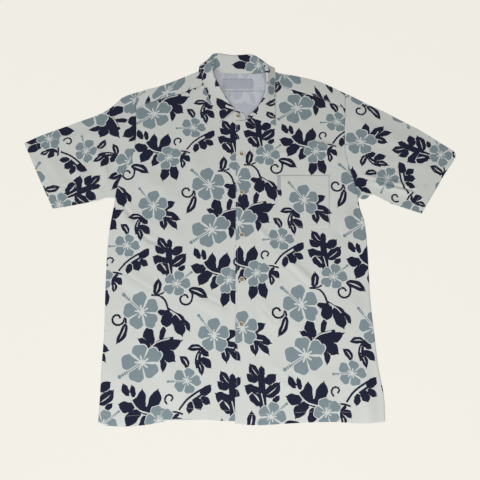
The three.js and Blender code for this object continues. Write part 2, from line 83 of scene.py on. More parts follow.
def makeCamera():
    lens = bpy.data.cameras.new("camera")
    lens.lens = camera["lens"]
    lens.sensor_width = camera["sensor"]
    lens.clip_end = camera["farthest"]
    view = addObject("camera", lens)
    aimAt(view, camera["place"], camera["aim"])
    bpy.context.scene.camera = view


def makeLamps():
    for name, place, aim, width, watts in studio["lamps"]:
        lamp = bpy.data.lights.new(name, "AREA")
        lamp.shape = "DISK"
        lamp.size = width
        lamp.energy = watts
        aimAt(addObject(name, lamp), place, aim)
    world = bpy.data.worlds.new("studio")
    world.use_nodes = True
    background = world.node_tree.nodes["Background"]
    background.inputs["Color"].default_value = (1.0, 1.0, 1.0, 1.0)
    background.inputs["Strength"].default_value = studio["world"]
    bpy.context.scene.world = world
    bpy.context.scene.view_settings.view_transform = "Standard"


makeCamera()
makeLamps()
print("camera and light made")

# Cut pieces in plan, millimetres

sizes = {
    "wall": 1.2,  # of the solids, cloth with its turned edges
    "cloth": 0.9,  # thickness that shows
    "seamGap": 0.3,
    "centreX": 4,
    "shift": (1.83, -41.167),  # from the plan to the frame's origin
    "gridStep": 3.2,  # spacing of the surface grids
    "yokeBack": 6.0,  # how far the folded flap reaches under itself, on the back
    "yokePuff": 0.5,
    "seamDip": 0.32,  # how far cloth sinks at a seam, and within what distance
    "seamDipWidth": 2.6,
}
layer = sizes["wall"] + sizes["seamGap"]
foldTop = 2 * sizes["wall"] + sizes["seamGap"]

overlap = {"rampStart": 24, "rampLength": 14, "underEdge": 17, "bendAt": 200}

pocket = {"left": 82, "right": 203, "narrow": 3, "bottom": 28, "top": 152}


def columns(names, values):
    # a table as one array for each named column
    return dict(zip(names.split(), np.array(values, float).T))


bodySections = columns("y right left", [
    (-376, -283, 290), (-330, -283, 291), (-272, -284, 284), (-202, -283.5, 280), (-143, -286, 277),
    (-88, -288, 277), (-6, -289, 278), (40, -286, 275.5), (75, -282, 267), (98, -280, 265),
])

armholeSections = columns("y right left", [
    (98, -280, 265), (115, -278.5, 262.5), (134, -274.5, 259), (158, -264, 253), (183, -253, 247.5),
    (208, -245, 243.7), (235, -241.7, 243), (262, -241.3, 244), (290, -243, 246.5), (322, -245, 249),
])

yokeSections = {
    "right": columns("seamX seamY foldX foldY", [
        (-245, 322, -247, 364), (-222, 335, -224, 372.5), (-198, 343, -200, 379), (-172, 352, -173, 389),
        (-146, 361, -146, 401), (-120, 371, -120, 413), (-98, 381, -97, 424), (-79, 388, -74, 433),
    ]),
    "left": columns("seamX seamY foldX foldY", [
        (249, 322, 250, 362), (226, 333, 227, 375), (202, 343, 203, 388), (178, 353, 179, 398),
        (152, 363, 153, 405), (126, 372, 127, 411), (101, 381, 102, 416), (79, 388, 78, 422),
    ]),
}

neckSections = {
    "right": columns("x y", [
        (-72, 376), (-64, 362), (-55, 348), (-44, 335), (-31, 324), (-16, 316), (-3, 314), (7, 311),
        (13, 303),
    ]),
    "left": columns("x y", [
        (77, 372), (72, 356), (63, 338), (51, 321), (36, 306), (20, 294), (5, 290.5), (-9, 290),
    ]),
}

backNeck = columns("x y", [
    (-71, 434), (-60, 430), (-48, 423), (-30, 419.5), (0, 418.5), (40, 419), (60, 421),
])

yokeDrop = {
    "centreY": 370, "flatHalf": 60, "fall": 25, "reach": 186, "power": 1.4, "past": 0.5, "clear": 0.05,
}

backHem = {"up": 2, "bow": 4}  # over the front's, so that it stays hidden

hemSections = {
    "right": columns("x y", [
        (-283, -379), (-268, -384), (-242, -386), (-204, -385), (-166, -380), (-132, -372.5),
        (-90, -372), (-51, -375), (overlap["underEdge"], -377),
    ]),
    "left": columns("x y", [
        (289, -377), (262, -380), (235, -380.5), (190, -378), (144, -378.5), (75, -382), (29, -384),
        (-10, -381),
    ]),
}

sleeveLines = {
    "right": {
        "top": [
            (-247, 364), (-265, 357.5), (-282, 348), (-299, 329), (-325, 309), (-381, 285), (-424, 267),
            (-467, 249), (-499, 232),
        ],
        "under": [(-280, 98), (-290, 98.5), (-301, 98), (-318, 92), (-356, 84), (-396, 76), (-418, 73)],
        "cuff": [(-499, 232), (-479.5, 193), (-459, 152.5), (-438, 112), (-418, 73)],
    },
    "left": {
        "top": [
            (250, 362), (262, 356), (298, 335), (337, 314), (378, 289.5), (420, 264), (460, 235),
            (490, 213.5),
        ],
        "under": [
            (265, 98), (272, 95.5), (280, 95), (288, 100), (296, 106.5), (305, 103), (339, 84),
            (370, 73), (404, 61),
        ],
        "cuff": [(490, 213.5), (495.5, 204), (490, 190), (463, 152), (433, 105), (404, 61)],
    },
}

# Soft folds: a ridge from (x1, y1) to (x2, y2), half as wide as width, height above the rest
foldColumns = "x1 y1 x2 y2 width height"
bodyFolds = columns(foldColumns, [
    (-262, 72, -196, -12, 15, 4.2), (-250, -76, -186, -114, 14, 3.2), (-90, -124, -18, -156, 13, 3),
    (-215, 150, -150, 96, 20, 2.4), (-170, -250, -120, -330, 22, 2.6), (-235, -300, -225, -392, 20, 4),
    (-110, -320, -112, -392, 22, 2.6), (-205, 40, -140, 10, 18, 2), (-110, 190, -70, 90, 22, 2),
    (60, -2, 22, 34, 11, 2.4), (92, -44, 150, -104, 14, 3.6), (42, -146, 78, -184, 12, 2.6),
    (70, -278, 100, -308, 12, 2.6), (186, 225, 240, 206, 13, 3.4), (92, 202, 216, 199, 11, 1.8),
    (258, 60, 210, 2, 15, 3.6), (240, -150, 190, -230, 20, 2.6), (160, -300, 150, -392, 22, 2.8),
    (250, -280, 262, -384, 18, 3), (225, -20, 180, -90, 18, 2.2),
])
sleeveFolds = {
    "right": columns(foldColumns, [
        (-288, 112, -322, 200, 13, 4), (-310, 108, -372, 160, 13, 3.4), (-262, 250, -300, 290, 16, 2.6),
        (-400, 110, -440, 190, 20, 2.6), (-350, 250, -420, 232, 16, 2.4),
    ]),
    "left": columns(foldColumns, [
        (283, 142, 378, 112, 12, 4.4), (270, 170, 312, 232, 14, 3.2), (330, 250, 400, 222, 18, 2.6),
        (400, 110, 440, 170, 18, 2.6), (262, 300, 300, 270, 15, 2.2),
    ]),
}

# Finer wrinkles that only the cloth shows, in the same columns: a negative height is a trough
bodyWrinkles = columns(foldColumns, [
    (176, 232, 236, 214, 6, 1.6), (186, 222, 250, 205, 4, -2.4), (88, 197, 214, 194, 4, -0.9),
    (-268, 58, -206, -22, 6, 1.8), (-256, 72, -196, -6, 5, -2.4), (-248, -76, -192, -110, 5, -2.2),
    (-258, -92, -196, -128, 6, 1.4), (-86, -122, -22, -152, 5, -2.0), (-96, -136, -40, -166, 6, 1.2),
    (56, 8, 26, 42, 5, 1.3), (60, -7, 25, 29, 5, -2.0), (98, -36, 160, -98, 6, 1.6),
    (90, -49, 146, -104, 6, -2.2), (42, -144, 74, -180, 5, -1.9), (70, -277, 98, -304, 5, -1.8),
    (262, 46, 218, -8, 6, -1.4), (250, 70, 200, 12, 6, 1.1), (-190, 232, -130, 205, 9, 0.9),
    (-225, 120, -160, 128, 8, 0.9), (-60, 60, -96, -20, 10, 0.9), (-46, 250, -58, 170, 9, 0.8),
    (110, 262, 150, 232, 9, 0.9), (50, 262, 62, 190, 8, 0.8), (214, -240, 246, -330, 8, 1.0),
    (-150, -150, -210, -220, 11, 1.0), (60, -330, 66, -392, 10, 1.1), (205, -330, 208, -392, 9, -1.2),
    (-262, -330, -258, -392, 8, -1.3), (-196, -340, -190, -392, 9, 1.2), (-64, -330, -70, -392, 10, -1.0),
    (110, -180, 160, -240, 12, 1.0), (-240, 290, -190, 262, 9, 1.0), (196, 300, 236, 268, 8, 1.0),
    (-262, 80, -232, 46, 4, -2.2), (-212, 7, -178, -10, 4, -2.4),
])
sleeveWrinkles = {
    "right": columns(foldColumns, [
        (-284, 124, -310, 196, 5, -1.6), (-298, 110, -352, 150, 5, -1.4), (-320, 104, -392, 132, 6, 1.2),
        (-290, 150, -330, 220, 7, 1.2), (-268, 268, -310, 262, 7, 0.9), (-420, 140, -462, 200, 8, -1.0),
        (-380, 220, -440, 208, 9, 0.9),
    ]),
    "left": columns(foldColumns, [
        (281, 150, 392, 121, 5, 2.2), (281, 143, 392, 114, 3.5, -3.2), (300, 134, 380, 108, 6, 1.8),
        (274, 182, 318, 226, 6, -1.2), (300, 118, 350, 92, 6, 1.3), (340, 190, 420, 168, 10, 0.9),
        (420, 130, 462, 182, 8, -1.0),
        (296, 260, 350, 262, 8, 0.9),
    ]),
}

# Shape functions


def ease(t):
    # smooth step 3t^2 - 2t^3 between 0 and 1
    t = np.clip(t, 0, 1)
    return t * t * (3 - 2 * t)


def spread(count, low=0.0, high=1.0):
    # even steps from low to high
    return np.linspace(low, high, count)


def rowsFor(length):
    # number of a grid's rows over a length
    return max(4, int(round(length / sizes["gridStep"])) + 1)


def apart(a, b):
    # distance from each point of one array to the same point of the other
    return np.linalg.norm(a - b, axis=-1)


def unit(v):
    # vectors over their own lengths
    return v / np.linalg.norm(v, axis=-1, keepdims=True)


def xy(table, x="x", y="y"):
    return np.stack([table[x], table[y]], axis=1)


def smoothLine(points, fine=24):
    # centripetal Catmull-Rom: knots spaced by the square root of each chord, mirrored points past the ends
    p = np.asarray(points, float)
    p = np.vstack([2 * p[0] - p[1], p, 2 * p[-1] - p[-2]])
    knots = np.concatenate([[0], np.cumsum(np.sqrt(apart(p[1:], p[:-1])))])
    p0, p1, p2, p3 = (p[i:len(p) - 3 + i, None] for i in range(4))
    t0, t1, t2, t3 = (knots[i:len(p) - 3 + i, None, None] for i in range(4))
    t = t1 + (t2 - t1) * np.linspace(0, 1, fine, endpoint=False)[None, :, None]

    def between(a, b, low, high):
        return ((high - t) * a + (t - low) * b) / (high - low)

    a1, a2, a3 = between(p0, p1, t0, t1), between(p1, p2, t1, t2), between(p2, p3, t2, t3)
    curve = between(between(a1, a2, t0, t2), between(a2, a3, t1, t3), t1, t2)
    return np.vstack([curve.reshape(-1, p.shape[1]), p[-2]])


def lineOf(table, x="x", y="y"):
    # smooth line through two columns of a table
    return smoothLine(xy(table, x, y))


def throughRows(table, names, t):
    # uniform Catmull-Rom through the rows of a table, t from 0 to 1 over all of them
    p = np.stack([table[name] for name in names], axis=1)
    p = np.vstack([2 * p[0] - p[1], p, 2 * p[-1] - p[-2]])
    at = t * (len(p) - 3)
    k = np.minimum(at.astype(int), len(p) - 4)
    s = (at - k)[:, None]
    p0, p1, p2, p3 = p[k], p[k + 1], p[k + 2], p[k + 3]
    onto = s * s * (3 - 2 * s)
    leave, arrive = s * (1 - s) ** 2, s * s * (s - 1)
    return (1 - onto) * p1 + onto * p2 + leave * (p2 - p0) / 2 + arrive * (p3 - p1) / 2


def travelled(line):
    # length from the start of a line to each of its points
    return np.concatenate([[0], np.cumsum(apart(line[1:], line[:-1]))])


def fractions(line):
    # the same as a share of the whole length
    length = travelled(line)
    return length / length[-1]


def atFractions(line, at):
    # points of a line at shares of its length
    own = fractions(line)
    return np.stack([np.interp(at, own, line[:, k]) for k in range(line.shape[1])], axis=1)


def patch(bottom, top, start, end):
    # Coons patch: bottom-to-top blend plus start-to-end blend, less the blend of the four corners
    u = fractions(top)[None, :, None]
    v = fractions(start)[:, None, None]
    across = bottom[None] * (1 - v) + top[None] * v
    along = start[:, None] * (1 - u) + end[:, None] * u
    low = bottom[0] * (1 - u) + bottom[-1] * u
    high = top[0] * (1 - u) + top[-1] * u
    return across + along - (low * (1 - v) + high * v)


def ridges(table, x, y):
    # sum of rounded ridges exp(-off^2 - past^2), off across each fold and past beyond its two ends
    height = np.zeros_like(x)
    for x1, y1, x2, y2, width, rise in zip(*table.values()):
        length = np.hypot(x2 - x1, y2 - y1)
        ax, ay = (x2 - x1) / length, (y2 - y1) / length
        t = ((x - x1) * ax + (y - y1) * ay) / length
        off = ((x - x1) * ay - (y - y1) * ax) / width
        past = np.maximum(0, np.abs(t - 0.5) - 0.5) * (length / width)
        height += rise * np.exp(-off * off - past * past)
    return height


def sideDistance(x, y):
    # distance in from the side seam or the armhole, level with the point
    def edge(side):
        body = np.interp(y, bodySections["y"], bodySections[side])
        armhole = np.interp(y, armholeSections["y"], armholeSections[side])
        return np.where(y > armholeSections["y"][0], armhole, body)
    return np.minimum(x - edge("right"), edge("left") - x)


# Where folds fade out beside a seam, the neck, the button line and the pocket: start and width
fades = {
    "side": (4, 32), "centre": (0, 22), "neck": (0, 46), "pocket": (5, 30),
    "armhole": (0, 55), "sleeveEdge": (2, 34),
}
frontWave = {"height": 0.9, "across": 41, "along": 57, "bend": 63, "neckY": 278, "atPocket": 0.12}


def fadeIn(distance, name):
    # eased from 0 up to the start to 1 a width further on
    return ease((distance - fades[name][0]) / fades[name][1])


def frontLift(x, y):
    # how far the front lies above the back: slow waves, folds and wrinkles, faded at every edge
    fromCentre = np.abs(x - sizes["centreX"]) - overlap["rampStart"]
    fromPocket = np.maximum.reduce([
        pocket["left"] - x, x - pocket["right"], pocket["bottom"] - y, y - pocket["top"],
    ])
    bent = np.sin(x / frontWave["across"] + np.sin(y / frontWave["bend"]))
    wave = 0.5 + 0.5 * bent * np.cos(y / frontWave["along"])
    free = fadeIn(sideDistance(x, y), "side") * fadeIn(fromCentre, "centre")
    free = free * fadeIn(frontWave["neckY"] - y, "neck")
    calm = frontWave["atPocket"] + (1 - frontWave["atPocket"]) * fadeIn(fromPocket, "pocket")
    folds = frontWave["height"] * wave + ridges(bodyFolds, x, y) + ridges(bodyWrinkles, x, y)
    return free * calm * np.maximum(folds, 0)


def frontHeight(side, x, y):
    # middle of the front's cloth above the floor; the left one rises over the under layer at the button line
    raised = layer * (1 - ease((x - overlap["rampStart"]) / overlap["rampLength"])) if side == "left" else 0
    return layer + sizes["wall"] / 2 + raised + frontLift(x, y)


def dip(distance):
    # a shallow groove along a seam: deepest at the edge, gone at the given distance
    return sizes["seamDip"] * (1 - ease(distance / sizes["seamDipWidth"]))


# Print: ordinary hibiscus flowers and leaves in a half-drop repeat, millimetres from the largest flower

repeat = {"width": 277, "drop": 285, "shift": 138}

# Flowers: centre, reach of the petals, direction of the stamen and its reach
flowers = columns("x y reach turn stamen", [
    (0, -1, 34, 128, 53),
    (130, -56, 40, 213, 52),
    (-54, -92, 27, 182, 38),
    (57, -176, 28, 38, 40),
    (169, -168, 28, 70, 22),
    (-14, -236, 39, 138, 54),
])

# Leaves: base, heading, length, half width, bend of the midrib, and width of the pale slit beside it
leaves = columns("x y heading length half bend slit", [
    # beside the first flower
    (18, -12, 34, 38, 9.5, 3, 0), (18, -14, -22, 48, 11.5, -3, 0), (20, -20, -46, 52, 8, 4, 0),
    (16, -16, -76, 44, 9.5, 3, 0.09),
    # behind the second flower
    (144, -28, 142, 34, 8, -4, 0), (148, -20, 102, 42, 11.5, 3, 0), (166, -10, 76, 33, 6, 0, 0),
    (150, -26, 15, 66, 12, -5, 0), (162, -28, -36, 46, 14, 2, 0), (166, -40, -80, 38, 6.5, 5, 0),
    # sprig
    (-24, -27, 184, 32, 7, -3, 0.14), (-26, -29, -42, 22, 7, 0, 0), (-28, -47, -42, 32, 8, 3, 0),
    (-36, -50, -70, 36, 6.5, 4, 0.12),
    # lone leaf over the third flower
    (-53, -66, 128, 30, 7.5, -4, 0.14),
    # low branch
    (-26, -119, 42, 30, 8.5, -2, 0), (-25, -124, -33, 24, 7.5, 0, 0), (-34, -126, -68, 25, 9.5, 0, 0),
    (-44, -132, -100, 25, 7, 0, 0),
    # tall plume
    (34, -100, 125, 35, 9.5, 2, 0.08), (31, -107, 148, 28, 8.5, 2, 0), (39, -99, 92, 23, 7, 0, 0),
    (44, -110, 34, 30, 10, -2, 0), (44, -136, 40, 43, 12, -3, 0.08), (36, -129, 157, 36, 11.5, 4, 0),
    (36, -154, 132, 38, 13, -4, 0.12), (61, -148, 42, 19, 6, 0, 0),
    # broad fan
    (108, -121, 119, 29, 7, 2, 0), (117, -124, 102, 26, 5.5, 0, 0), (135, -150, 92, 44, 9.5, 2, 0),
    (149, -151, 70, 48, 12, -3, 0), (120, -144, 167, 35, 11, 3, 0), (131, -150, 230, 41, 12, -4, 0),
    (142, -159, 251, 33, 9, 3, 0),
    # pair under the fifth flower
    (163, -186, -99, 42, 10, 2, 0), (180, -186, -77, 40, 10, -2, 0),
    # on the scrolls and the twig
    (92, 24, 246, 48, 8, 4, 0.17), (84, -188, -26, 47, 9.5, 4, 0.16), (13, -199, 82, 36, 8.5, -2, 0.15),
    # bough
    (46, -237, 174, 30, 6.5, 3, 0), (43, -236, -100, 36, 13, 0, 0), (55, -243, -68, 50, 13.5, 3, 0),
    (71, -252, -56, 32, 6.5, 2, 0),
    # hook
    (199, -166, -36, 24, 7, 4, 0), (198, -172, -84, 24, 6, 3, 0.14),
])


def curl(x, y, radius, start, turns, hand):
    # a scroll that winds in: its radius shrinks by 0.62 t^1.3 while its angle runs on evenly
    t = spread(11)
    angle = radians(start) + hand * 2 * pi * turns * t
    r = radius * (1 - 0.62 * t ** 1.3)
    return np.stack([x + r * np.cos(angle), y + r * np.sin(angle)], axis=1)


# Strokes: points, half width, and whether they are pale lines over the leaves
strokes = [
    (curl(74, 34, 15, 5, -0.95, 1), 2.2, 0),
    ([(92, 26), (91, 33), (89, 36)], 2.2, 0),
    (curl(77, -208, 15, 5, 0.95, -1), 2.2, 0),
    ([(86, -190), (92, -198), (92, -207)], 2.2, 0),
    (curl(190, -127, 11, 235, 0.78, -1), 1.9, 0),
    ([(182, -149), (192, -152), (204, -152), (216, -156)], 1.9, 0),
    ([(207, -156), (199, -165), (198, -176)], 3.4, 0),
    ([(-23, -25), (-33, -37), (-37, -52), (-34, -66)], 2.0, 0),
    ([(-26, -29), (-29, -42), (-30, -58)], 2.8, 0),
    ([(-67, -147), (-53, -129), (-33, -114), (-8, -101)], 2.1, 0),
    ([(-40, -130), (-28, -121), (-16, -112)], 3.0, 0),
    ([(41, -156), (40, -130), (38, -102)], 7.0, 0),
    ([(122, -131), (133, -145), (152, -153)], 8.0, 0),
    ([(6, -201), (22, -202), (34, -212), (42, -232)], 2.2, 0),
    ([(12, -200), (26, -198), (38, -188)], 1.7, 0),
    ([(42, -230), (56, -239), (70, -245), (77, -256)], 2.4, 0),
    ([(150, -24), (164, -14), (190, -8)], 4.5, 0),
    ([(144, -28), (158, -15), (184, -7)], 1.3, 1),
    ([(22, -22), (32, -25), (41, -26)], 1.1, 1),
    ([(109, -117), (116, -135), (130, -149), (160, -157)], 1.4, 1),
    ([(-60, -146), (-46, -130), (-27, -117)], 1.1, 1),
    ([(46, -234), (60, -243), (69, -253)], 1.1, 1),
    ([(44, -160), (41, -144), (38, -132)], 1.0, 1),
]

segmentLength = 6


def strokeSegments(wanted):
    # each stroke as short straight pieces: middle, direction, half length and half width
    found = []
    for points, half, pale in strokes:
        if pale != wanted:
            continue
        line = smoothLine(points, 12)
        count = max(3, int(round(travelled(line)[-1] / segmentLength)))
        line = atFractions(line, spread(count + 1))
        for a, b in zip(line[:-1], line[1:]):
            reach = apart(a, b)
            found.append((*(a + b) / 2, *(b - a) / reach, reach / 2, half))
    return columns("x y ax ay reach half", found)


stemSegments = strokeSegments(0)
veinSegments = strokeSegments(1)


def wrapShift(x, y):
    # the repeat that brings a point nearest to the origin: whole drops first, then whole widths
    rowShift = np.round(y / repeat["drop"])
    columnShift = np.round((x - repeat["shift"] * rowShift) / repeat["width"])
    return repeat["shift"] * rowShift + repeat["width"] * columnShift, repeat["drop"] * rowShift


def nearest(middles, distance, corners, rank=0):
    # for every face the motif at the least distance, or the next one, and the face's corners brought to it
    x, y = corners.mean(axis=1).T
    found = []
    for k, middle in enumerate(middles):
        sx, sy = wrapShift(x - middle[0], y - middle[1])
        found.append((distance(k, x - sx, y - sy), sx, sy))
    found = np.array(found)
    index = np.argsort(found[:, 0], axis=0)[rank]
    shift = found[index, 1:, np.arange(len(corners))]
    return index[:, None], corners[..., 0] - shift[:, :1], corners[..., 1] - shift[:, 1:]


leafShape = {
    "body": 0.9,  # share of the length that the rounded part takes
    "tip": 0.8,  # where the pointed tip may begin
    "slope": 1.9,  # half width of the tip for each length that is left
    "wave": 0.14, "waves": 13,  # of the edge
    "gap": 1.9, "gapFrom": 2.7, "gapRise": 6,  # pale gap to the next leaf, from none near the base
    "slitFrom": 0.16, "slitLength": 0.62, "slitSide": 0.06,
}


def leafAt(k, x, y):
    # along the midrib from 0 to 1, and across it in half widths, with the midrib bent as a bow
    a = np.radians(leaves["heading"][k])
    dx, dy = x - leaves["x"][k], y - leaves["y"][k]
    along = (dx * np.cos(a) + dy * np.sin(a)) / leaves["length"][k]
    across = -dx * np.sin(a) + dy * np.cos(a) - 4 * leaves["bend"][k] * along * (1 - along)
    return along, across / leaves["half"][k]


def leafDepth(k, x, y):
    # distance outside the leaf's edge, negative inside: half an ellipse over the body, and a pointed tip
    along, across = leafAt(k, x, y)
    s = np.clip(along / leafShape["body"], 0, 1)
    left = 1 - np.clip(along, 0, 1)
    tip = np.where(left < 1 - leafShape["tip"], leafShape["slope"] * left, 0)
    beyond = np.maximum(0, np.abs(along - 0.5) - 0.5) * leaves["length"][k]
    return (np.abs(across) - np.maximum(2 * np.sqrt(s * (1 - s)), tip)) * leaves["half"][k] + beyond


def flowerAt(k, x, y):
    # towards the stamen and beside it, in reaches of the petals
    a = np.radians(flowers["turn"][k])
    dx, dy = (x - flowers["x"][k]) / flowers["reach"][k], (y - flowers["y"][k]) / flowers["reach"][k]
    return dx * np.cos(a) + dy * np.sin(a), -dx * np.sin(a) + dy * np.cos(a)


def segmentAt(segments, k, x, y):
    # past the end of a straight piece and across it, in its half widths
    dx, dy = x - segments["x"][k], y - segments["y"][k]
    along = dx * segments["ax"][k] + dy * segments["ay"][k]
    across = -dx * segments["ay"][k] + dy * segments["ax"][k]
    return (np.abs(along) - segments["reach"][k]) / segments["half"][k], across / segments["half"][k]


def printOn(corners):
    # places of every face corner in the nearest leaf, flower, stem and pale vein, for the print's material
    heading = np.radians(leaves["heading"])[:, None]
    halfWay = np.hstack([np.cos(heading), np.sin(heading)]) * leaves["length"][:, None] / 2
    k, x, y = nearest(xy(leaves) + halfWay, leafDepth, corners, rank=1)
    fromNext = leafDepth(k, x, y)
    k, x, y = nearest(xy(leaves) + halfWay, leafDepth, corners)
    fromNext = fromNext - leafDepth(k, x, y)
    leaf = np.stack([*leafAt(k, x, y), leaves["slit"][k] + 0 * x], axis=-1)

    k, x, y = nearest(xy(flowers), lambda k, x, y: np.hypot(*flowerAt(k, x, y)), corners)
    flower = np.stack([*flowerAt(k, x, y), flowers["stamen"][k] / flowers["reach"][k] + 0 * x], axis=-1)

    def strokeOn(segments):
        def distance(k, x, y):
            past, across = segmentAt(segments, k, x, y)
            return np.hypot(np.maximum(past, 0), across) * segments["half"][k]
        return np.stack([*segmentAt(segments, *nearest(xy(segments), distance, corners)), fromNext], axis=-1)

    return {"leaf": leaf, "flower": flower, "stem": strokeOn(stemSegments), "vein": strokeOn(veinSegments)}


# Materials


class Value:
    # a result of a material's nodes: each sign or function on it makes one math node
    def __init__(self, socket):
        self.socket = socket

    def math(self, operation, *others, clamp=False):
        node = self.socket.id_data.nodes.new("ShaderNodeMath")
        node.operation = operation
        node.use_clamp = clamp
        for socket, value in zip(node.inputs, (self, *others)):
            put(socket, value)
        return Value(node.outputs[0])

    def __rsub__(self, other):
        return self * -1 + other

    __add__ = __radd__ = partialmethod(math, "ADD")
    __mul__ = __rmul__ = partialmethod(math, "MULTIPLY")
    __sub__ = partialmethod(math, "SUBTRACT")
    __truediv__ = partialmethod(math, "DIVIDE")
    __pow__ = partialmethod(math, "POWER")
    __lt__ = partialmethod(math, "LESS_THAN")
    __gt__ = partialmethod(math, "GREATER_THAN")
    __abs__ = partialmethod(math, "ABSOLUTE")
    sin = partialmethod(math, "SINE")
    cos = partialmethod(math, "COSINE")
    root = partialmethod(math, "SQRT")
    least = partialmethod(math, "MINIMUM")
    most = partialmethod(math, "MAXIMUM")
    clipped = partialmethod(math, "ADD", 0.0, clamp=True)  # between 0 and 1


def put(socket, value):
    # a node's result, a plain number or a colour into a node's input
    if isinstance(value, Value):
        socket.id_data.links.new(value.socket, socket)
    else:
        socket.default_value = (*value, 1.0) if socket.type == "RGBA" else value


def fill(node, inputs):
    # inputs by name, with _ for a space
    for name, value in inputs.items():
        put(node.inputs[name.replace("_", " ")], value)


class Nodes:
    # a new material and short ways to add nodes to it
    def __init__(self, name):
        self.material = bpy.data.materials.new(name)
        self.material.use_nodes = True
        self.tree = self.material.node_tree

    def node(self, kind, output=0, settings=None, **inputs):
        made = self.tree.nodes.new("ShaderNode" + kind)
        for name, value in (settings or {}).items():
            setattr(made, name, value)
        fill(made, inputs)
        return Value(made.outputs[output])

    def parts(self, vector):
        made = self.tree.nodes.new("ShaderNodeSeparateXYZ")
        put(made.inputs[0], vector)
        return [Value(socket) for socket in made.outputs]

    def attribute(self, name):
        return self.parts(self.node("Attribute", "Vector", {"attribute_name": name}))

    def mix(self, share, a, b):
        return self.node("Mix", "Result", {"data_type": "RGBA"}, Factor=share, A=a, B=b)

    def surface(self, **inputs):
        fill(self.tree.nodes["Principled BSDF"], inputs)
        return self.material


printColours = {
    "cloth": (0.640, 0.655, 0.625),
    "navy": (0.0134, 0.0156, 0.0372),
    "grey": (0.217, 0.276, 0.297),
    "outline": (0.640, 0.665, 0.640),
    "reverse": (0.615, 0.635, 0.705),
    "showThrough": 0.17,  # how much of the print shows on the reverse
}

threads = {"pitch": 0.00045, "share": 0.35, "bump": 0.35, "slubs": 420.0}  # pitch in metres


def weave(n, depth):
    # plain weave: two crossed sets of fine threads along the piece's own UV, and slow slubs in them
    grain = n.node("UVMap", settings={"uv_map": "grain"})
    across, along, _ = n.parts(grain)
    turns = 2 * pi / threads["pitch"]
    slub = n.node("TexNoise", Vector=grain, Scale=threads["slubs"], Detail=3.0, Roughness=0.6)
    height = (across * turns).sin() * (along * turns).sin() * threads["share"] + slub
    n.surface(Normal=n.node("Bump", Height=height, Distance=depth, Strength=threads["bump"]))
    return slub, grain


def leafMask(n):
    # body 2 sqrt(s (1-s)) with s over the body's length and a soft wave in the edge, and a pointed tip
    along, across, slit = n.attribute("leaf")
    t = along.clipped()
    s = (along / leafShape["body"]).clipped()
    wavy = 2 + leafShape["wave"] * (leafShape["waves"] * t + across).sin()
    tip = (1 - t) * (t > leafShape["tip"]) * leafShape["slope"]
    inside = abs(across) < ((s * (1 - s)).root() * wavy).most(tip)
    # pale gap where two leaves meet, closed at their bases
    _, _, fromNext = n.attribute("stem")
    gap = (leafShape["gapRise"] * t - leafShape["gapFrom"]).least(leafShape["gap"])
    # pale slit beside the midrib of some, as half a sine wave
    share = (t / leafShape["slitLength"] - leafShape["slitFrom"]).clipped()
    slitMask = abs(across + leafShape["slitSide"]) < slit * (pi * share).sin()
    return inside * (abs(fromNext) > gap) * (1 - slitMask)


def strokeMask(n, name):
    # inside the nearest stroke's half width, and not far past the end of its straight piece
    past, across, _ = n.attribute(name)
    return (abs(across) < 1) * (past < 0.7)


petal = {
    "slope": 0.7265,  # tangent of 36 degrees, half of a fifth of the turn
    "middle": 0.60, "length": 0.42, "half": 0.40,  # ellipse, in reaches
    "gap": 0.045,
    "border": 0.12, "borderGap": -0.05,  # how much larger the pale outline is
    "notch": 0.045, "lobes": 9,
    "uneven": 0.075,
    "tongue": 0.068, "tongueReach": 0.40,  # pale streak from the heart
    "heart": 0.075,
}
stamen = {
    "from": 0.10, "border": 0.075, "thread": 0.026, "knob": 0.10,
    "tick": 0.085, "ticks": 46, "tickReach": 0.45,
}


def petals(a, b, gap, swell):
    # a petal lies between two lines 36 degrees off its axis, less the gap, and inside an ellipse
    off = (a - petal["middle"]) / (petal["length"] * swell)
    bow = (1 - off * off).most(0.0).root()
    return abs(b) < (a * petal["slope"] - gap).least(bow * (petal["half"] * swell))


def flowerMasks(n):
    # five petals, with the stamen on the line between two of them
    toStamen, beside, stamenReach = n.attribute("flower")
    radius = (toStamen * toStamen + beside * beside).root()
    angle = beside.math("ARCTAN2", toStamen)
    fifth = 2 * pi / 5
    wrapped = angle.math("FLOORED_MODULO", fifth) - fifth / 2
    a, b = radius * wrapped.cos(), radius * wrapped.sin()
    # heart-shaped ends, and petals of uneven length
    which = (2.1 * (angle / fifth).math("FLOOR")).sin()
    outer = a * (1 + petal["uneven"] * which) + petal["notch"] * (petal["lobes"] * b + 0.8 * which).cos()
    grey = petals(outer, b, petal["gap"], 1.0)
    halo = petals(outer, b, petal["borderGap"], 1 + petal["border"])
    # pale tongue on each petal: widens outward to a round end
    t = (a / petal["tongueReach"]).clipped()
    tongue = abs(b) < petal["tongue"] * t ** 0.8 * (1 - t ** 7)
    pale = tongue.most(radius < petal["heart"])
    # stamen: grey thread in a pale border, and a soft knob with ticks towards its end
    onThread = (toStamen < stamenReach) * (toStamen > stamen["from"])
    away = abs(beside)
    fromKnob = toStamen - stamenReach
    knob = (fromKnob * fromKnob + beside * beside).root() < stamen["knob"]
    ticks = ((stamen["ticks"] * toStamen).sin() > -0.1) * (fromKnob > -stamen["tickReach"])
    marks = onThread * ticks * (away < stamen["tick"])
    thread = onThread * (away < stamen["thread"])
    return grey, halo, pale, onThread * (away < stamen["border"]), thread.most(marks).most(knob)


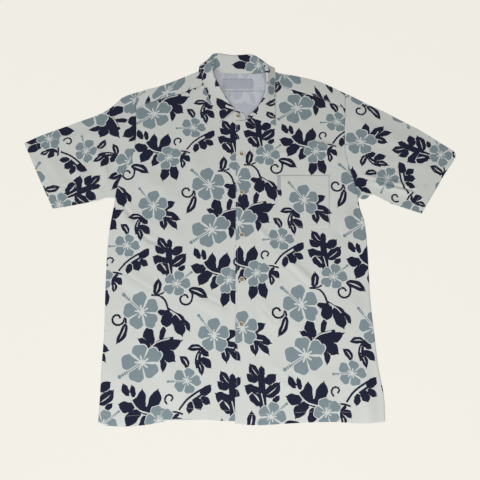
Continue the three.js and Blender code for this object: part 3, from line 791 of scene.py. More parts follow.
def printedCloth(name, reverse=False):
    # leaves and stems first, then each flower from its pale border to its stamen, then the dye's tone
    n = Nodes(name)
    slub, grain = weave(n, 0.00006)
    grey, halo, pale, border, stamenGrey = flowerMasks(n)
    colours = printColours
    navy = leafMask(n).most(strokeMask(n, "stem")) * (1 - strokeMask(n, "vein"))
    printed = n.mix(navy, colours["cloth"], colours["navy"])
    for mask, colour in (
        (halo, "outline"), (grey, "grey"), (pale * halo, "outline"),
        (border, "outline"), (stamenGrey, "grey"),
    ):
        printed = n.mix(mask, printed, colours[colour])
    if reverse:
        printed = n.mix(colours["showThrough"], colours["reverse"], printed)
    # slow change of tone, as dye takes unevenly, and thread to thread variation
    slow = n.node("TexNoise", Vector=grain, Scale=22.0, Detail=2.0)
    tone = (0.955 + 0.09 * slow) * (0.95 + 0.10 * slub)
    shaded = n.node("VectorMath", settings={"operation": "SCALE"}, Vector=printed, Scale=tone)
    return n.surface(
        Base_Color=shaded, Roughness=0.78 + 0.12 * slub, Specular_IOR_Level=0.14,
        Sheen_Weight=0.02, Sheen_Roughness=0.5,
    )


bothFaces = [printedCloth("printed_cotton_face"), printedCloth("printed_cotton_reverse", reverse=True)]
print("cloth materials made")

# Cloth pieces


def gridFaces(rowCount, columnCount, closed=False):
    # four corners of each cell of a grid, row by row; a closed grid's last column joins its first
    j, i = np.meshgrid(np.arange(rowCount - 1), np.arange(columnCount - 1 + closed), indexing="ij")
    a, b = j * columnCount + i, j * columnCount + (i + 1) % columnCount
    return np.stack([a, b, b + columnCount, a + columnCount], axis=-1).reshape(-1, 4)


def toFrame(points):
    # millimetres in the plan to metres in the frame
    return (np.array(points, float) + np.array([*sizes["shift"], 0.0])) * 0.001


def meshObject(name, points, faces, materials, attributes=None, domain="CORNER", smooth=True):
    # a piece at the origin with its place in its mesh, and a vector for each corner or point by name
    mesh = bpy.data.meshes.new(name)
    mesh.from_pydata(toFrame(points).tolist(), [], [tuple(int(i) for i in face) for face in faces])
    for label, values in (attributes or {}).items():
        store = mesh.attributes.new(label, "FLOAT_VECTOR", domain)
        store.data.foreach_set("vector", values.astype(np.float32).ravel())
    mesh.polygons.foreach_set("use_smooth", np.full(len(faces), smooth))
    for material in materials:
        mesh.materials.append(material)
    return addObject(name, mesh)


def clothObject(
    name, points, faces, flat, flatFaces, materials=bothFaces, thickness=sizes["cloth"], flip=False
):
    # points in the plan with heights, faces into them, and flat: where each point lies on the printed cloth
    if flip:
        faces, flatFaces = faces[:, ::-1], flatFaces[:, ::-1]
    corners = flat[flatFaces]
    piece = meshObject(name, points, faces, materials, printOn(corners))
    grain = piece.data.uv_layers.new(name="grain")
    grain.data.foreach_set("uv", (corners * 0.001).astype(np.float32).ravel())
    wall = piece.modifiers.new("cloth", "SOLIDIFY")
    wall.thickness = thickness * 0.001
    wall.offset = 0
    wall.use_even_offset = False
    wall.material_offset = 1 if len(materials) > 1 else 0
    return piece


def clothGrid(name, grid, flat, **options):
    # one sheet over a whole grid of points, and the place of each on the printed cloth
    faces = gridFaces(*grid.shape[:2])
    return clothObject(name, grid.reshape(-1, 3), faces, flat.reshape(-1, 2), faces, **options)


def onPrint(x, y, origin, heading=90.0):
    # where a point lies on the printed cloth: from the origin, with the print's top towards heading
    a = radians(heading - 90)
    dx, dy = x - origin[0], y - origin[1]
    return np.stack([dx * cos(a) + dy * sin(a), -dx * sin(a) + dy * cos(a)], axis=-1)


# where the first flower falls on each piece, in the plan
printOrigin = {
    "front_right": (-193.2, 78.2),
    "front_left": (143.4, 93.1),
    "back_panel": (-60, 60),
    "yoke": (43, 470),
}

# rough reaches that set the rows of each grid
reaches = {
    "frontAcross": 300, "frontAlong": 720, "backAcross": 560, "backAlong": 740, "shoulder": 190,
    "backNeck": 125, "yokeBack": 60, "armhole": 230, "sleeve": 240, "collar": 700,
    "pocketAcross": 120, "pocketAlong": 124,
}

# rows of what doesn't follow the grid's step
rowCounts = {
    "backSeam": 200, "yokeSeam": 400, "foldTurn": 9, "flap": 15, "label": (44, 18),
    "tab": (8, 7, 34), "line": 40, "hemLine": 60,
}


def outerEdge(side, hemY):
    # side seam and armhole, from the hem corner up to the yoke
    seam = xy(bodySections, side, "y")
    seam[0, 1] = hemY
    return np.vstack([smoothLine(seam), lineOf(armholeSections, side, "y")[1:]])


def frontPanel(side):
    # Coons patch between the hem, the neck with the yoke seam, the outer edge and the front edge
    hem, neck = lineOf(hemSections[side]), lineOf(neckSections[side])
    start = outerEdge(side, hem[0, 1])
    top = np.vstack([lineOf(yokeSections[side], "seamX", "seamY"), neck])
    bend = [(overlap["underEdge"], overlap["bendAt"])] if side == "right" else []
    centre = smoothLine([hem[-1], *bend, top[-1]])
    u, v = spread(rowsFor(reaches["frontAcross"])), spread(rowsFor(reaches["frontAlong"]))
    top, start = atFractions(top, u), atFractions(start, v)
    plan = patch(atFractions(hem, u), top, start, atFractions(centre, v))
    x, y = plan[..., 0], plan[..., 1]
    z = frontHeight(side, x, y) - dip(apart(plan, start[:, None])) - dip(apart(plan, top[None]))
    flat = onPrint(x, y, printOrigin["front_" + side])
    return clothGrid(f"front_{side}_cloth", np.dstack([plan, z]), flat, flip=side == "left")


def backYokeSeam(count):
    # level in the middle, and falling by a power of the distance towards each shoulder
    past = yokeDrop["past"]
    x = spread(count, armholeSections["right"][-1] - past, armholeSections["left"][-1] + past)
    out = np.maximum(0, np.abs(x - sizes["centreX"]) - yokeDrop["flatHalf"]) / yokeDrop["reach"]
    return np.stack([x, yokeDrop["centreY"] - yokeDrop["fall"] * out ** yokeDrop["power"]], axis=1)


def backPanel():
    # flat Coons patch between the hem, the yoke seam and both outer edges
    hemY = hemSections["right"]["y"][0] + backHem["up"]
    seam = backYokeSeam(rowCounts["backSeam"])
    start = np.vstack([outerEdge("right", hemY), seam[0]])
    end = np.vstack([outerEdge("left", hemY), seam[-1]])
    u, v = spread(rowsFor(reaches["backAcross"])), spread(rowsFor(reaches["backAlong"]))
    bottom = atFractions(smoothLine([start[0], (0, hemY + backHem["bow"]), end[0]]), u)
    plan = patch(bottom, atFractions(seam, u), atFractions(start, v), atFractions(end, v))
    grid = np.dstack([plan, np.full(plan.shape[:2], sizes["wall"] / 2)])
    flat = onPrint(-plan[..., 0], plan[..., 1], printOrigin["back_panel"])
    return clothGrid("back_panel_cloth", grid, flat, flip=True)


def yokeFlap(side):
    # rows across the shoulder fold: from the back, round a half circle, down to the front seam
    t = spread(rowsFor(reaches["shoulder"]))
    seam, fold = (
        atFractions(lineOf(yokeSections[side], part + "X", part + "Y"), t) for part in ("seam", "fold")
    )
    reach = apart(seam, fold)[:, None]
    half = (foldTop - sizes["wall"]) / 2  # of the turn, at the middle of the cloth
    turnAt = foldTop / 2
    arc = spread(rowCounts["foldTurn"], -pi / 2, pi / 2)
    backReach = sizes["yokeBack"]
    inward = np.concatenate([[backReach, (backReach + turnAt) / 2], turnAt - half * np.cos(arc)])
    height = np.concatenate([[-half, -half], half * np.sin(arc)])
    onFlap = turnAt + (reach - turnAt) * spread(rowCounts["flap"])[1:]
    puff = sizes["yokePuff"] * np.sin(pi * np.clip(onFlap / reach, 0, 1)) - dip(reach - onFlap)
    inward = np.hstack([np.tile(inward, (len(t), 1)), onFlap])
    height = np.hstack([np.tile(height, (len(t), 1)), half + puff])
    plan = fold[:, None] + ((seam - fold) / reach)[:, None] * inward[..., None]
    # on the cloth, the front flap unrolls past the fold line
    past = fold[:, None] * np.array([-1, 1]) + np.dstack([np.zeros_like(inward), inward])
    return np.dstack([plan, foldTop / 2 + height]), past - np.array(printOrigin["yoke"])


def yoke():
    # the back of the yoke meets both flaps along the same points, so that one sheet runs over the shoulders
    (right, rightFlat), (left, leftFlat) = yokeFlap("right"), yokeFlap("left")
    neck = atFractions(lineOf(backNeck), spread(rowsFor(reaches["backNeck"])))
    top = np.vstack([right[:, 0, :2], neck, left[::-1, 0, :2]])
    seam = backYokeSeam(rowCounts["yokeSeam"]) + np.array([0, yokeDrop["clear"]])
    bottom = atFractions(seam, fractions(top))
    v = spread(rowsFor(reaches["yokeBack"]))[:, None]
    plan = patch(bottom, top, bottom[0] * (1 - v) + top[0] * v, bottom[-1] * (1 - v) + top[-1] * v)
    back = np.dstack([plan, np.full(plan.shape[:2], sizes["wall"] / 2)])
    backFlat = onPrint(-plan[..., 0], plan[..., 1], printOrigin["yoke"])
    points, faces, flat = [], [], []
    for grid, onCloth, turned in ((back, backFlat, True), (right, rightFlat, False), (left, leftFlat, True)):
        cells = gridFaces(*grid.shape[:2]) + sum(len(part) for part in points)
        faces.append(cells[:, ::-1] if turned else cells)
        points.append(grid.reshape(-1, 3))
        flat.append(onCloth.reshape(-1, 2))
    faces = np.vstack(faces)
    piece = clothObject("yoke_cloth", np.vstack(points), faces, np.vstack(flat), faces)
    joinPoints(piece, 0.00002)
    piece.modifiers.move(1, 0)
    return piece


def joinPoints(piece, distance):
    # one point where parts of a mesh meet
    weld = piece.modifiers.new("join", "WELD")
    weld.merge_threshold = distance


sleeveSettings = {
    "right": {"heading": 16, "origin": (-251, 185), "outward": -1},
    "left": {"heading": 152, "origin": (278, 235), "outward": 1},
    "seamClearance": 0.12,
    "edgeRows": (0, 0.25, 0.7, 1.5),  # distances of the first rows from the fold and from the underarm seam
    "middleFrom": 3,  # and of the even rows between them
    "puff": 0.8,
}


def sleeve(side):
    # a flattened tube: across runs from the underarm seam along the lower layer to the fold, and back on top
    settings, lines, table = sleeveSettings[side], sleeveLines[side], yokeSections[side]
    fold = np.array([table["foldX"][0], table["foldY"][0]])
    seamEnd = np.array([table["seamX"][0], table["seamY"][0]])
    armhole = np.vstack([fold, (fold + seamEnd) / 2, smoothLine(xy(armholeSections, side, "y")[::-1])])
    armhole = armhole + np.array([settings["outward"] * sleeveSettings["seamClearance"], 0])
    top, under = (smoothLine([armhole[k], *lines[part][1:]]) for k, part in ((0, "top"), (-1, "under")))
    depth = reaches["armhole"]
    edges = np.array(sleeveSettings["edgeRows"]) / depth
    first = sleeveSettings["middleFrom"] / depth
    a = np.concatenate([edges, spread(rowsFor(depth), first, 1 - first), 1 - edges[::-1]])
    b = spread(rowsFor(reaches["sleeve"]))
    cuff = atFractions(smoothLine(lines["cuff"]), a)
    plan = patch(atFractions(armhole, a), cuff, atFractions(top, b), atFractions(under, b))
    x, y = plan[..., 0], plan[..., 1]
    inside = np.minimum(apart(plan, plan[:, :1]), apart(plan, plan[:, -1:]))
    fromArmhole = apart(plan, plan[:1])
    turn = foldTop / 2
    near = np.clip(inside / turn, 0, 1)
    rounded = (foldTop - sizes["wall"]) / 2 * np.sqrt(1 - (1 - near) ** 2)
    free = fadeIn(fromArmhole, "armhole") * fadeIn(inside, "sleeveEdge")
    folds = sleeveSettings["puff"] + ridges(sleeveFolds[side], x, y) + ridges(sleeveWrinkles[side], x, y)
    lift = free * np.maximum(folds, 0)
    upper = np.dstack([plan, turn + rounded + lift - dip(fromArmhole) * near])
    lower = np.dstack([plan, turn - rounded])
    ring = np.concatenate([lower[:, ::-1], upper[:, 1:-1]], axis=1)
    # the lower layer is the same cloth, turned over at the fold
    way = unit(plan[-1, 0] - plan[0, 0])
    off = (plan - plan[len(b) // 2, 0]) @ np.array([-way[1], way[0]])
    below = plan - 2 * off[..., None] * np.array([-way[1], way[0]])
    onTop, under = (
        onPrint(p[..., 0], p[..., 1], settings["origin"], settings["heading"]) for p in (plan, below)
    )
    flat = np.concatenate([under[:, ::-1], onTop[:, 1:]], axis=1)
    return clothObject(
        f"sleeve_{side}_cloth", ring.reshape(-1, 3), gridFaces(*ring.shape[:2], closed=True),
        flat.reshape(-1, 2), gridFaces(*flat.shape[:2]), flip=side == "right",
    )


# Collar: each row is a section of the middle of the cloth, as its seam on the neckline, its roll, the edge
# of its leaf, and the radius and turn of the roll
collarSections = columns("seamX seamY seamZ rollX rollY rollZ edgeX edgeY edgeZ radius turn", [
    (-17, 315.5, 3.6, -13, 318, 4.0, -52, 282, 3.7, 1.4, 90),
    (-30, 325, 3.6, -23, 328, 4.4, -60, 309, 3.7, 1.6, 90),
    (-43, 336.5, 3.6, -31, 341, 4.8, -68, 335, 3.7, 1.8, 90),
    (-54, 350, 3.6, -41, 358, 5.5, -76, 357, 3.7, 2.1, 90),
    (-63, 366, 3.6, -52, 378, 6.4, -84, 379, 3.7, 2.5, 88),
    (-71, 382, 3.6, -61, 397, 7.4, -92, 400, 3.7, 3.0, 80),
    (-75, 402, 3.6, -65, 415, 8.6, -99, 421, 3.7, 3.6, 62),
    (-76, 419, 3.6, -64, 436, 10, -97, 436, 3.2, 4.2, 35),
    (-71, 431, 3.6, -62, 453, 11.4, -86, 446, 2.0, 4.8, -5),
    (-61, 428, 3.2, -52, 460, 12.2, -70, 443, 0.9, 5.2, -55),
    (-44, 418, 2.5, -38, 459, 12.6, -47, 431, 0.7, 5.4, -82),
    (-22, 415.5, 2.1, -18, 456.5, 12.6, -22, 423, 0.7, 5.4, -90),
    (4, 415, 2.1, 4, 457, 12.6, 4, 422, 0.7, 5.4, -90),
    (26, 415.5, 2.1, 22, 458.5, 12.6, 28, 423, 0.7, 5.4, -88),
    (45, 417, 2.5, 38, 454, 12.6, 51, 429, 0.8, 5.2, -75),
    (61, 419, 3.2, 51, 441, 12.6, 72, 434, 1.6, 4.8, -40),
    (72, 418, 3.6, 59, 426, 12.8, 83, 430, 3.0, 4.4, 5),
    (75, 408, 3.6, 63, 411, 12.6, 85, 418, 3.7, 3.8, 50),
    (76, 393, 3.6, 65, 395, 11.8, 85.5, 401, 3.7, 3.2, 75),
    (75, 374, 3.6, 64.5, 375, 10.4, 84, 379, 3.7, 2.8, 86),
    (70, 356, 3.6, 61, 357, 8.8, 83.5, 357, 3.7, 2.4, 90),
    (61, 339, 3.6, 54.5, 340, 7.2, 83, 335, 3.7, 2.0, 90),
    (48, 322.5, 3.6, 43.5, 322, 5.8, 83, 313, 3.7, 1.8, 90),
    (34, 308, 3.6, 30.5, 308, 4.8, 83, 293, 3.7, 1.6, 90),
    (22, 298.5, 3.6, 19, 298, 4.2, 83, 277, 3.7, 1.4, 90),
])

collarSettings = {
    "bandRows": 14, "turnRows": 12, "leafRows": 18,
    "fall": 1.5,  # power of the leaf's fall from the roll to its edge
    "thickness": 1.1,
    "printTurn": 75, "printShift": (-54, -126),
}


def collar():
    # from the neck seam up the band, round the roll in a half circle, and down the leaf to its edge
    t = spread(rowsFor(reaches["collar"]))
    seam, roll, edge = (
        throughRows(collarSections, [part + axis for axis in "XYZ"], t) for part in ("seam", "roll", "edge")
    )
    radius, turn = throughRows(collarSections, ["radius", "turn"], t).T[..., None]
    turn = np.radians(turn)
    flatWay = np.array([1.0, 1.0, 0.0])
    out = unit((roll - seam) * flatWay)
    over = unit(unit((edge - seam) * flatWay) * np.cos(turn) + np.array([0, 0, 1.0]) * np.sin(turn))
    leafStart = roll + 2 * over * radius
    s = np.linspace(0, 1, collarSettings["bandRows"], endpoint=False)[None, :, None]
    band = seam[:, None] * (1 - s) + roll[:, None] * s
    angle = spread(collarSettings["turnRows"], 0, pi)[None, :, None]
    centre, reach = roll + over * radius, radius[:, None]
    bend = centre[:, None] - over[:, None] * reach * np.cos(angle) + out[:, None] * reach * np.sin(angle)
    s = spread(collarSettings["leafRows"] + 1)[1:][None, :, None]
    leaf = leafStart[:, None] * (1 - s) + edge[:, None] * s
    leaf[..., 2:] = edge[:, None, 2:] + (leafStart - edge)[:, None, 2:] * (1 - s) ** collarSettings["fall"]
    grid = np.concatenate([band, bend, leaf], axis=1)
    # on the cloth: length along the roll, and distance across from the seam, turned
    crossed = np.cumsum(apart(grid[:, 1:], grid[:, :-1]), axis=1)
    down = -np.concatenate([np.zeros((len(t), 1)), crossed], axis=1)
    flat = onPrint(travelled(roll)[:, None] + 0 * down, down, (0, 0), 90 - collarSettings["printTurn"])
    flat = flat + np.array(collarSettings["printShift"])
    thickness = collarSettings["thickness"]
    return clothGrid("collar_cloth", grid, flat, materials=bothFaces[:1], thickness=thickness)


pocketCloth = {
    "rise": 0.82,  # middle of its cloth over the middle of the front's
    "thickness": 0.65,
    "leftPull": 0.6, "rightPull": 1.6,  # shares of the narrowing that each side takes
}


def pocketPatch():
    # lies on the left front: the same surface, moved out by a layer, with the print matched
    across, up = np.meshgrid(
        spread(rowsFor(reaches["pocketAcross"])), spread(rowsFor(reaches["pocketAlong"]))
    )
    pull = (1 - up) * pocket["narrow"]  # the sides draw together towards the bottom
    left = pocket["left"] - pocketCloth["leftPull"] * pull
    right = pocket["right"] - pocketCloth["rightPull"] * pull
    x = left + (right - left) * across
    y = pocket["bottom"] + (pocket["top"] - pocket["bottom"]) * up
    inside = np.minimum(np.minimum(x - left, right - x), y - pocket["bottom"])
    z = frontHeight("left", x, y) + pocketCloth["rise"] - 0.8 * dip(inside)
    flat = onPrint(x, y, printOrigin["front_left"])
    return clothGrid("pocket_cloth", np.dstack([x, y, z]), flat, thickness=pocketCloth["thickness"])


pieces = {
    "back_panel": backPanel(),
    "yoke": yoke(),
    "front_right": frontPanel("right"),
    "front_left": frontPanel("left"),
    "sleeve_right": sleeve("right"),
    "sleeve_left": sleeve("left"),
    "collar": collar(),
    "pocket": pocketPatch(),
}
print("cloth pieces made")

# Small sewn pieces and buttons


def plainCloth(name, colour, roughness):
    # woven tape in one colour, a little darker in its slubs
    n = Nodes(name)
    slub, _ = weave(n, 0.00003)
    shaded = n.mix(0.25 * slub, colour, [0.7 * c for c in colour])
    return n.surface(Base_Color=shaded, Roughness=roughness, Specular_IOR_Level=0.2)


def strip(name, x, y, z, material, thickness):
    return clothGrid(name, np.dstack([x, y, z]), np.dstack([x, y]), materials=[material], thickness=thickness)


neckLabel = {
    "x": -6, "width": 70, "bottom": 374, "top": 401, "thick": 0.5,
    "bow": 0.5, "loose": 0.35, "rise": 0.32,
    "colour": (0.47, 0.49, 0.55),
}


def labelInNeck():
    # bare woven label, sewn down at its ends and a little loose between them, by half a sine wave
    across, up = np.meshgrid(*map(spread, rowCounts["label"]))
    arch = np.sin(pi * across)
    x = neckLabel["x"] + (across - 0.5) * neckLabel["width"]
    y = neckLabel["bottom"] + up * (neckLabel["top"] - neckLabel["bottom"]) + neckLabel["bow"] * arch
    loose = neckLabel["loose"] * arch ** 2 * (0.4 + 0.6 * np.sin(pi * up + 0.4))
    cloth = plainCloth("woven_label", neckLabel["colour"], 0.55)
    return strip("neck_label_cloth", x, y, layer + neckLabel["rise"] + loose, cloth, neckLabel["thick"])


pocketTab = {
    "x": 84, "width": 7, "bottom": 116, "top": 149, "thick": 0.33,
    "turn": 0.2,  # radius of its fold
    "clear": 0.05, "loose": 0.2,
    "colour": (0.46, 0.46, 0.52),
}


def tabOnPocket():
    # bare woven tape: out from the pocket's edge, round a fold at the free side, and back on top
    flatRows, turnRows, upRows = rowCounts["tab"]
    flatRun, turnRun = spread(flatRows)[:-1], spread(turnRows, -pi / 2, pi / 2)
    out = np.concatenate([flatRun, 1 + 0 * turnRun, flatRun[::-1]]) * (pocketTab["width"] - pocketTab["turn"])
    out[len(flatRun):-len(flatRun)] += pocketTab["turn"] * np.cos(turnRun)
    raised = np.concatenate([-1 + 0 * flatRun, np.sin(turnRun), 1 + 0 * flatRun]) * pocketTab["turn"]
    out, up = np.meshgrid(out, spread(upRows))
    x = pocketTab["x"] + out
    y = pocketTab["bottom"] + up * (pocketTab["top"] - pocketTab["bottom"])
    loose = pocketTab["loose"] * (out / pocketTab["width"]) ** 2 * (0.6 + 0.4 * np.sin(5 * up))
    onPocket = frontHeight("left", x, y) + pocketCloth["rise"] + pocketCloth["thickness"] / 2
    z = onPocket + pocketTab["turn"] + pocketTab["thick"] / 2 + pocketTab["clear"]
    cloth = plainCloth("woven_tape", pocketTab["colour"], 0.6)
    return strip("pocket_tab_cloth", x, y, z + raised + loose, cloth, pocketTab["thick"])


buttons = {
    "radius": 5.75,
    "height": 2.8,
    "holeRadius": 0.9,
    "holeOffset": 1.7,
    "around": 48,
    # turned profile, as shares of the radius and of the height
    "profile": [
        (0.78, 0), (0.93, 0.12), (1.0, 0.35), (0.98, 0.75), (0.86, 0.98), (0.7, 0.9), (0.56, 0.70),
        (0.5, 0.68),
    ],
    "places": [(-4, 300, 3.0), (3.5, 203, 4.5), (4, 110, 4.5), (4, 10, 4.5), (4, -89, 4.5), (3.5, -184, 4.5)],
    "turns": [12, 78, 40, 5, 61, 27],
    # two strands over each pair of holes: half is half of the space between the two
    "thread": {"radius": 0.17, "half": 0.2, "past": 0.1, "under": 0.55, "arch": 0.95},
    "rim": (0.82, 0.81, 0.74),
    "middle": (0.31, 0.24, 0.135),
    "cloud": (0.62, 0.56, 0.45),
    "rimFrom": 0.74, "rimBlend": 0.10,  # shares of the radius
    "sewing": (0.66, 0.65, 0.60),
}


def buttonShell():
    # pale rim and darker middle with a cloudy edge between them
    n = Nodes("button_shell")
    far, _, _ = n.attribute("fromMiddle")
    cloud = n.node("TexNoise", Vector=n.node("TexCoord", "Object"), Scale=260.0, Detail=4.0, Roughness=0.6)
    share = ((far + 0.16 * cloud - 0.08 - buttons["rimFrom"]) / buttons["rimBlend"]).clipped()
    shaded = n.mix(0.2 * cloud, n.mix(share, buttons["middle"], buttons["rim"]), buttons["cloud"])
    return n.surface(Base_Color=shaded, Roughness=0.28, Coat_Weight=0.25, Coat_Roughness=0.15)


def threadMaterial():
    # pale thread with the light and dark of its twist
    n = Nodes("sewing_thread")
    twist = n.node("TexNoise", Vector=n.node("TexCoord", "Object"), Scale=2600.0, Detail=2.0)
    shaded = n.mix(twist, [0.86 * c for c in buttons["sewing"]], buttons["sewing"])
    return n.surface(Base_Color=shaded, Roughness=0.7, Sheen_Weight=0.1)


def joinRings(a, b):
    # faces between two rings of vertex numbers
    return [(a[i], a[(i + 1) % len(a)], b[(i + 1) % len(b)], b[i]) for i in range(len(a))]


def addPart(points, faces, part):
    # puts a part's points and faces after those that the lists already hold
    count = len(points)
    points += [tuple(point) for point in part[0]]
    faces += [tuple(i + count for i in face) for face in part[1]]
    return count


def tube(path, radius, around):
    # round strand along a path, closed by a cap at each end
    path = np.asarray(path, float)
    way = unit(np.gradient(path, axis=0))
    side = unit(np.cross(way, np.array([0.0, 0.0, 1.0]) + 1e-4))[:, None]
    top = np.cross(side[:, 0], way)[:, None]
    t = (np.arange(around) * 2 * pi / around)[None, :, None]
    points = (path[:, None] + radius * (side * np.cos(t) + top * np.sin(t))).reshape(-1, 3)
    numbers = np.arange(len(points)).reshape(len(path), around).tolist()
    faces = [tuple(numbers[0]), tuple(numbers[-1][::-1])]
    for a, b in zip(numbers[:-1], numbers[1:]):
        faces += joinRings(b, a)
    return points, faces


def circle(radius, angles):
    # points at a radius, by angle
    return radius * np.stack([np.cos(angles), np.sin(angles)], axis=-1)


def buttonFloor(reach, z, up):
    # flat disc with four holes: each quarter is filled from its hole out to its two straight sides and arc
    points, faces, holes = [], [], []
    for a in np.arange(4) * pi / 2:
        side = spread(7, 0, reach)
        outline = np.vstack([
            np.outer(side, circle(1, a)), circle(reach, a + spread(13, 0, pi / 2)[1:]),
            np.outer(side[-2:0:-1], circle(1, a + pi / 2)),
        ])
        middle = circle(buttons["holeOffset"], a + pi / 4)
        hole = middle + unit(outline - middle) * buttons["holeRadius"]
        rings = []
        for share in (0, 0.35, 1):
            ring = hole * (1 - share) + outline * share
            rings.append(list(range(len(points), len(points) + len(ring))))
            points += [(*p, z) for p in ring]
        for inner, outer in zip(rings[:-1], rings[1:]):
            faces += joinRings(inner, outer) if up else joinRings(outer, inner)
        holes.append(rings[0])
    return points, faces, holes


def button(name, place, turn, materials):
    # a turned profile with both floors and four holes through, and its sewing thread
    profile = smoothLine(buttons["profile"], 4) * np.array([buttons["radius"], buttons["height"]])
    around = buttons["around"]
    rim = circle(1, 2 * pi * np.arange(around) / around)
    points, faces = [], []
    rings = np.arange(len(profile) * around).reshape(-1, around).tolist()
    for r, z in profile:
        points += [(*p, z) for p in r * rim]
    for lower, upper in zip(rings[:-1], rings[1:]):
        faces += joinRings(lower, upper)
    holeRings = []
    for (r, z), up in ((profile[-1], True), (profile[0], False)):
        *floor, holes = buttonFloor(r, z, up)
        count = addPart(points, faces, floor)
        holeRings.append([[i + count for i in ring] for ring in holes])
    for upper, lower in zip(*holeRings):
        faces += joinRings(upper, lower)
    shellFaces = len(faces)
    sewing = buttons["thread"]
    reach = buttons["holeOffset"] * cos(pi / 4)
    t = spread(11, 0, pi)
    x = (reach + sewing["past"]) * np.cos(t)
    z = profile[-1, 1] - sewing["under"] + sewing["arch"] * np.sin(t) ** 0.6
    for y in [pair + side * sewing["half"] for pair in (-reach, reach) for side in (-1, 1)]:
        addPart(points, faces, tube(np.stack([-x, np.full_like(t, y), z], axis=1), sewing["radius"], 8))
    points = np.array(points, float)
    fromMiddle = np.repeat(np.hypot(points[:, 0], points[:, 1]) / buttons["radius"], 3)
    a = radians(turn)
    turned = points @ np.array([[cos(a), sin(a), 0], [-sin(a), cos(a), 0], [0, 0, 1]])
    piece = meshObject(
        name, turned + np.array(place, float), faces, materials, {"fromMiddle": fromMiddle}, domain="POINT"
    )
    isThread = np.arange(len(faces)) >= shellFaces
    piece.data.polygons.foreach_set("material_index", isThread.astype(np.int32))
    joinPoints(piece, 0.000002)
    return piece


pieces["neck_label"] = labelInNeck()
pieces["pocket_tab"] = tabOnPocket()
thread = threadMaterial()
shell = buttonShell()
for k, (place, turn) in enumerate(zip(buttons["places"], buttons["turns"]), 1):
    pieces[f"button_{k}"] = button(f"button_{k}_shell", place, turn, [shell, thread])
print("small pieces made")

# Stitches: short raised threads on the cloth, laid along lines in the plan

stitching = {
    "length": 2.5, "space": 0.6, "radius": 0.2, "above": 0.06,
    "hem": 20, "cuff": 24, "pocketHem": 24, "edge": 2.2,  # distances of the lines from the edges
    "frontEdge": [(-6.4, -370), (-5.9, 0), (-5.2, 284)],
}


def runningStitches(path):
    # even steps along the path, each with a stitch and a space
    path = np.asarray(path, float)
    pitch = stitching["length"] + stitching["space"]
    starts = atFractions(path, spread(max(2, int(travelled(path)[-1] / pitch) + 1)))
    return [(a, a + (b - a) * stitching["length"] / pitch) for a, b in zip(starts[:-1], starts[1:])]


def stitches(node, paths, bars=()):
    # each thread is dropped onto the top of the piece's cloth
    bpy.context.view_layer.update()
    graph = bpy.context.evaluated_depsgraph_get()
    tree = BVHTree.FromObject(pieces[node].evaluated_get(graph), graph)
    points, faces = [], []
    for a, b in [each for path in paths for each in runningStitches(path)] + list(bars):
        ends = []
        for share in (0, 0.5, 1):
            p = a + (b - a) * share
            x, y, _ = toFrame([*p, 0])
            hit = tree.ray_cast(Vector((x, y, 0.1)), Vector((0, 0, -1)))[0]
            if hit:
                rise = stitching["above"] if share == 0.5 else -0.4 * stitching["radius"]
                ends.append((*p, hit.z * 1000 + rise))
        if len(ends) == 3:
            addPart(points, faces, tube(ends, stitching["radius"], 5))
    made = meshObject(node + "_stitches", points, faces, [thread], smooth=False)
    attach(made, "root")
    return made


def hemLine(side, low, high):
    # the hem moved up, between two shares of its length
    hem = lineOf(hemSections[side]) + np.array([0, stitching["hem"]])
    return atFractions(hem, spread(rowCounts["hemLine"], low, high))


def cuffLine(side):
    # the cuff moved towards the armhole
    cuff, armhole = (
        atFractions(smoothLine(line), spread(rowCounts["line"], 0.02, 0.98))
        for line in (sleeveLines[side]["cuff"], xy(armholeSections, side, "y")[::-1])
    )
    return cuff + unit(armhole - cuff) * stitching["cuff"]


def yokeLine(side):
    # the yoke's front seam moved up
    seam = lineOf(yokeSections[side], "seamX", "seamY")
    return atFractions(seam, spread(rowCounts["line"], 0.01, 0.99)) + np.array([0, stitching["edge"]])


def pocketLines():
    # round the three sewn sides, and along the hem
    edge, pull = stitching["edge"], pocket["narrow"]
    left, right = pocket["left"] + edge, pocket["right"] - edge
    bottom, top, hem = pocket["bottom"] + edge, pocket["top"] - 1, pocket["top"] - stitching["pocketHem"]
    lowLeft, lowRight = left - pocketCloth["leftPull"] * pull, right - pocketCloth["rightPull"] * pull
    around = [(left, top), (lowLeft, bottom), (lowRight, bottom), (right, top)]
    return [around, [(left + 0.2, hem), (right - 0.2, hem)]]


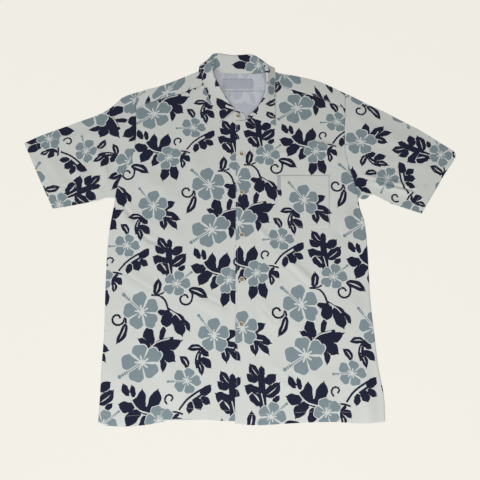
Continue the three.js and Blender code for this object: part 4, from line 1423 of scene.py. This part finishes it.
def collarLine(low, high, share):
    # from the roll, a share of the way to the leaf's edge
    at = spread(rowCounts["line"], low, high)
    roll, edge = (throughRows(collarSections, (part + "X", part + "Y"), at) for part in ("roll", "edge"))
    return roll + (edge - roll) * share


buttonhole = {"half": 7.4, "step": 0.5, "inner": 0.3, "outer": 1.5, "below": 0.8}


def buttonholeBars():
    # close threads on both sides of a slit along the front, under each button that is fastened
    bars = []
    for x, y, _ in buttons["places"][1:]:
        for along in np.arange(-buttonhole["half"], buttonhole["half"] + 0.01, buttonhole["step"]):
            for side in (-1, 1):
                level = y - buttonhole["below"] + along
                ends = [(x + side * buttonhole[edge], level) for edge in ("inner", "outer")]
                bars.append(tuple(np.array(ends)))
    return bars


sewn = {
    "front_right": stitches("front_right", [hemLine("right", 0.01, 0.88)]),
    "front_left": stitches(
        "front_left", [hemLine("left", 0.01, 0.985), stitching["frontEdge"]], buttonholeBars()
    ),
    "sleeve_right": stitches("sleeve_right", [cuffLine("right")]),
    "sleeve_left": stitches("sleeve_left", [cuffLine("left")]),
    "yoke": stitches("yoke", [yokeLine("right"), yokeLine("left")]),
    "pocket": stitches("pocket", pocketLines()),
    "collar": stitches("collar", [collarLine(0.02, 0.30, 0.88), collarLine(0.70, 0.98, 0.90)]),
}
print("stitches laid")

for node, piece in pieces.items():
    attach(piece, "root")
    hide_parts(node)
# Floor


def makeFloor():
    # pale floor that glows by a share of its colour, just under the shirt
    half = studio["floorSize"] / 2
    corners = [(-half, -half, 0), (half, -half, 0), (half, half, 0), (-half, half, 0)]
    mesh = bpy.data.meshes.new("floor")
    mesh.from_pydata(corners, [], [(0, 1, 2, 3)])
    floor = addObject("floor", mesh)
    floor.location = (0, 0, -studio["floorGap"])
    colour, glow = studio["floorColour"], studio["floorGlow"]
    mesh.materials.append(Nodes("pale_floor").surface(
        Base_Color=[c * (1 - glow) for c in colour], Roughness=1.0, Specular_IOR_Level=0.0,
        Emission_Color=colour, Emission_Strength=glow,
    ))


makeFloor()
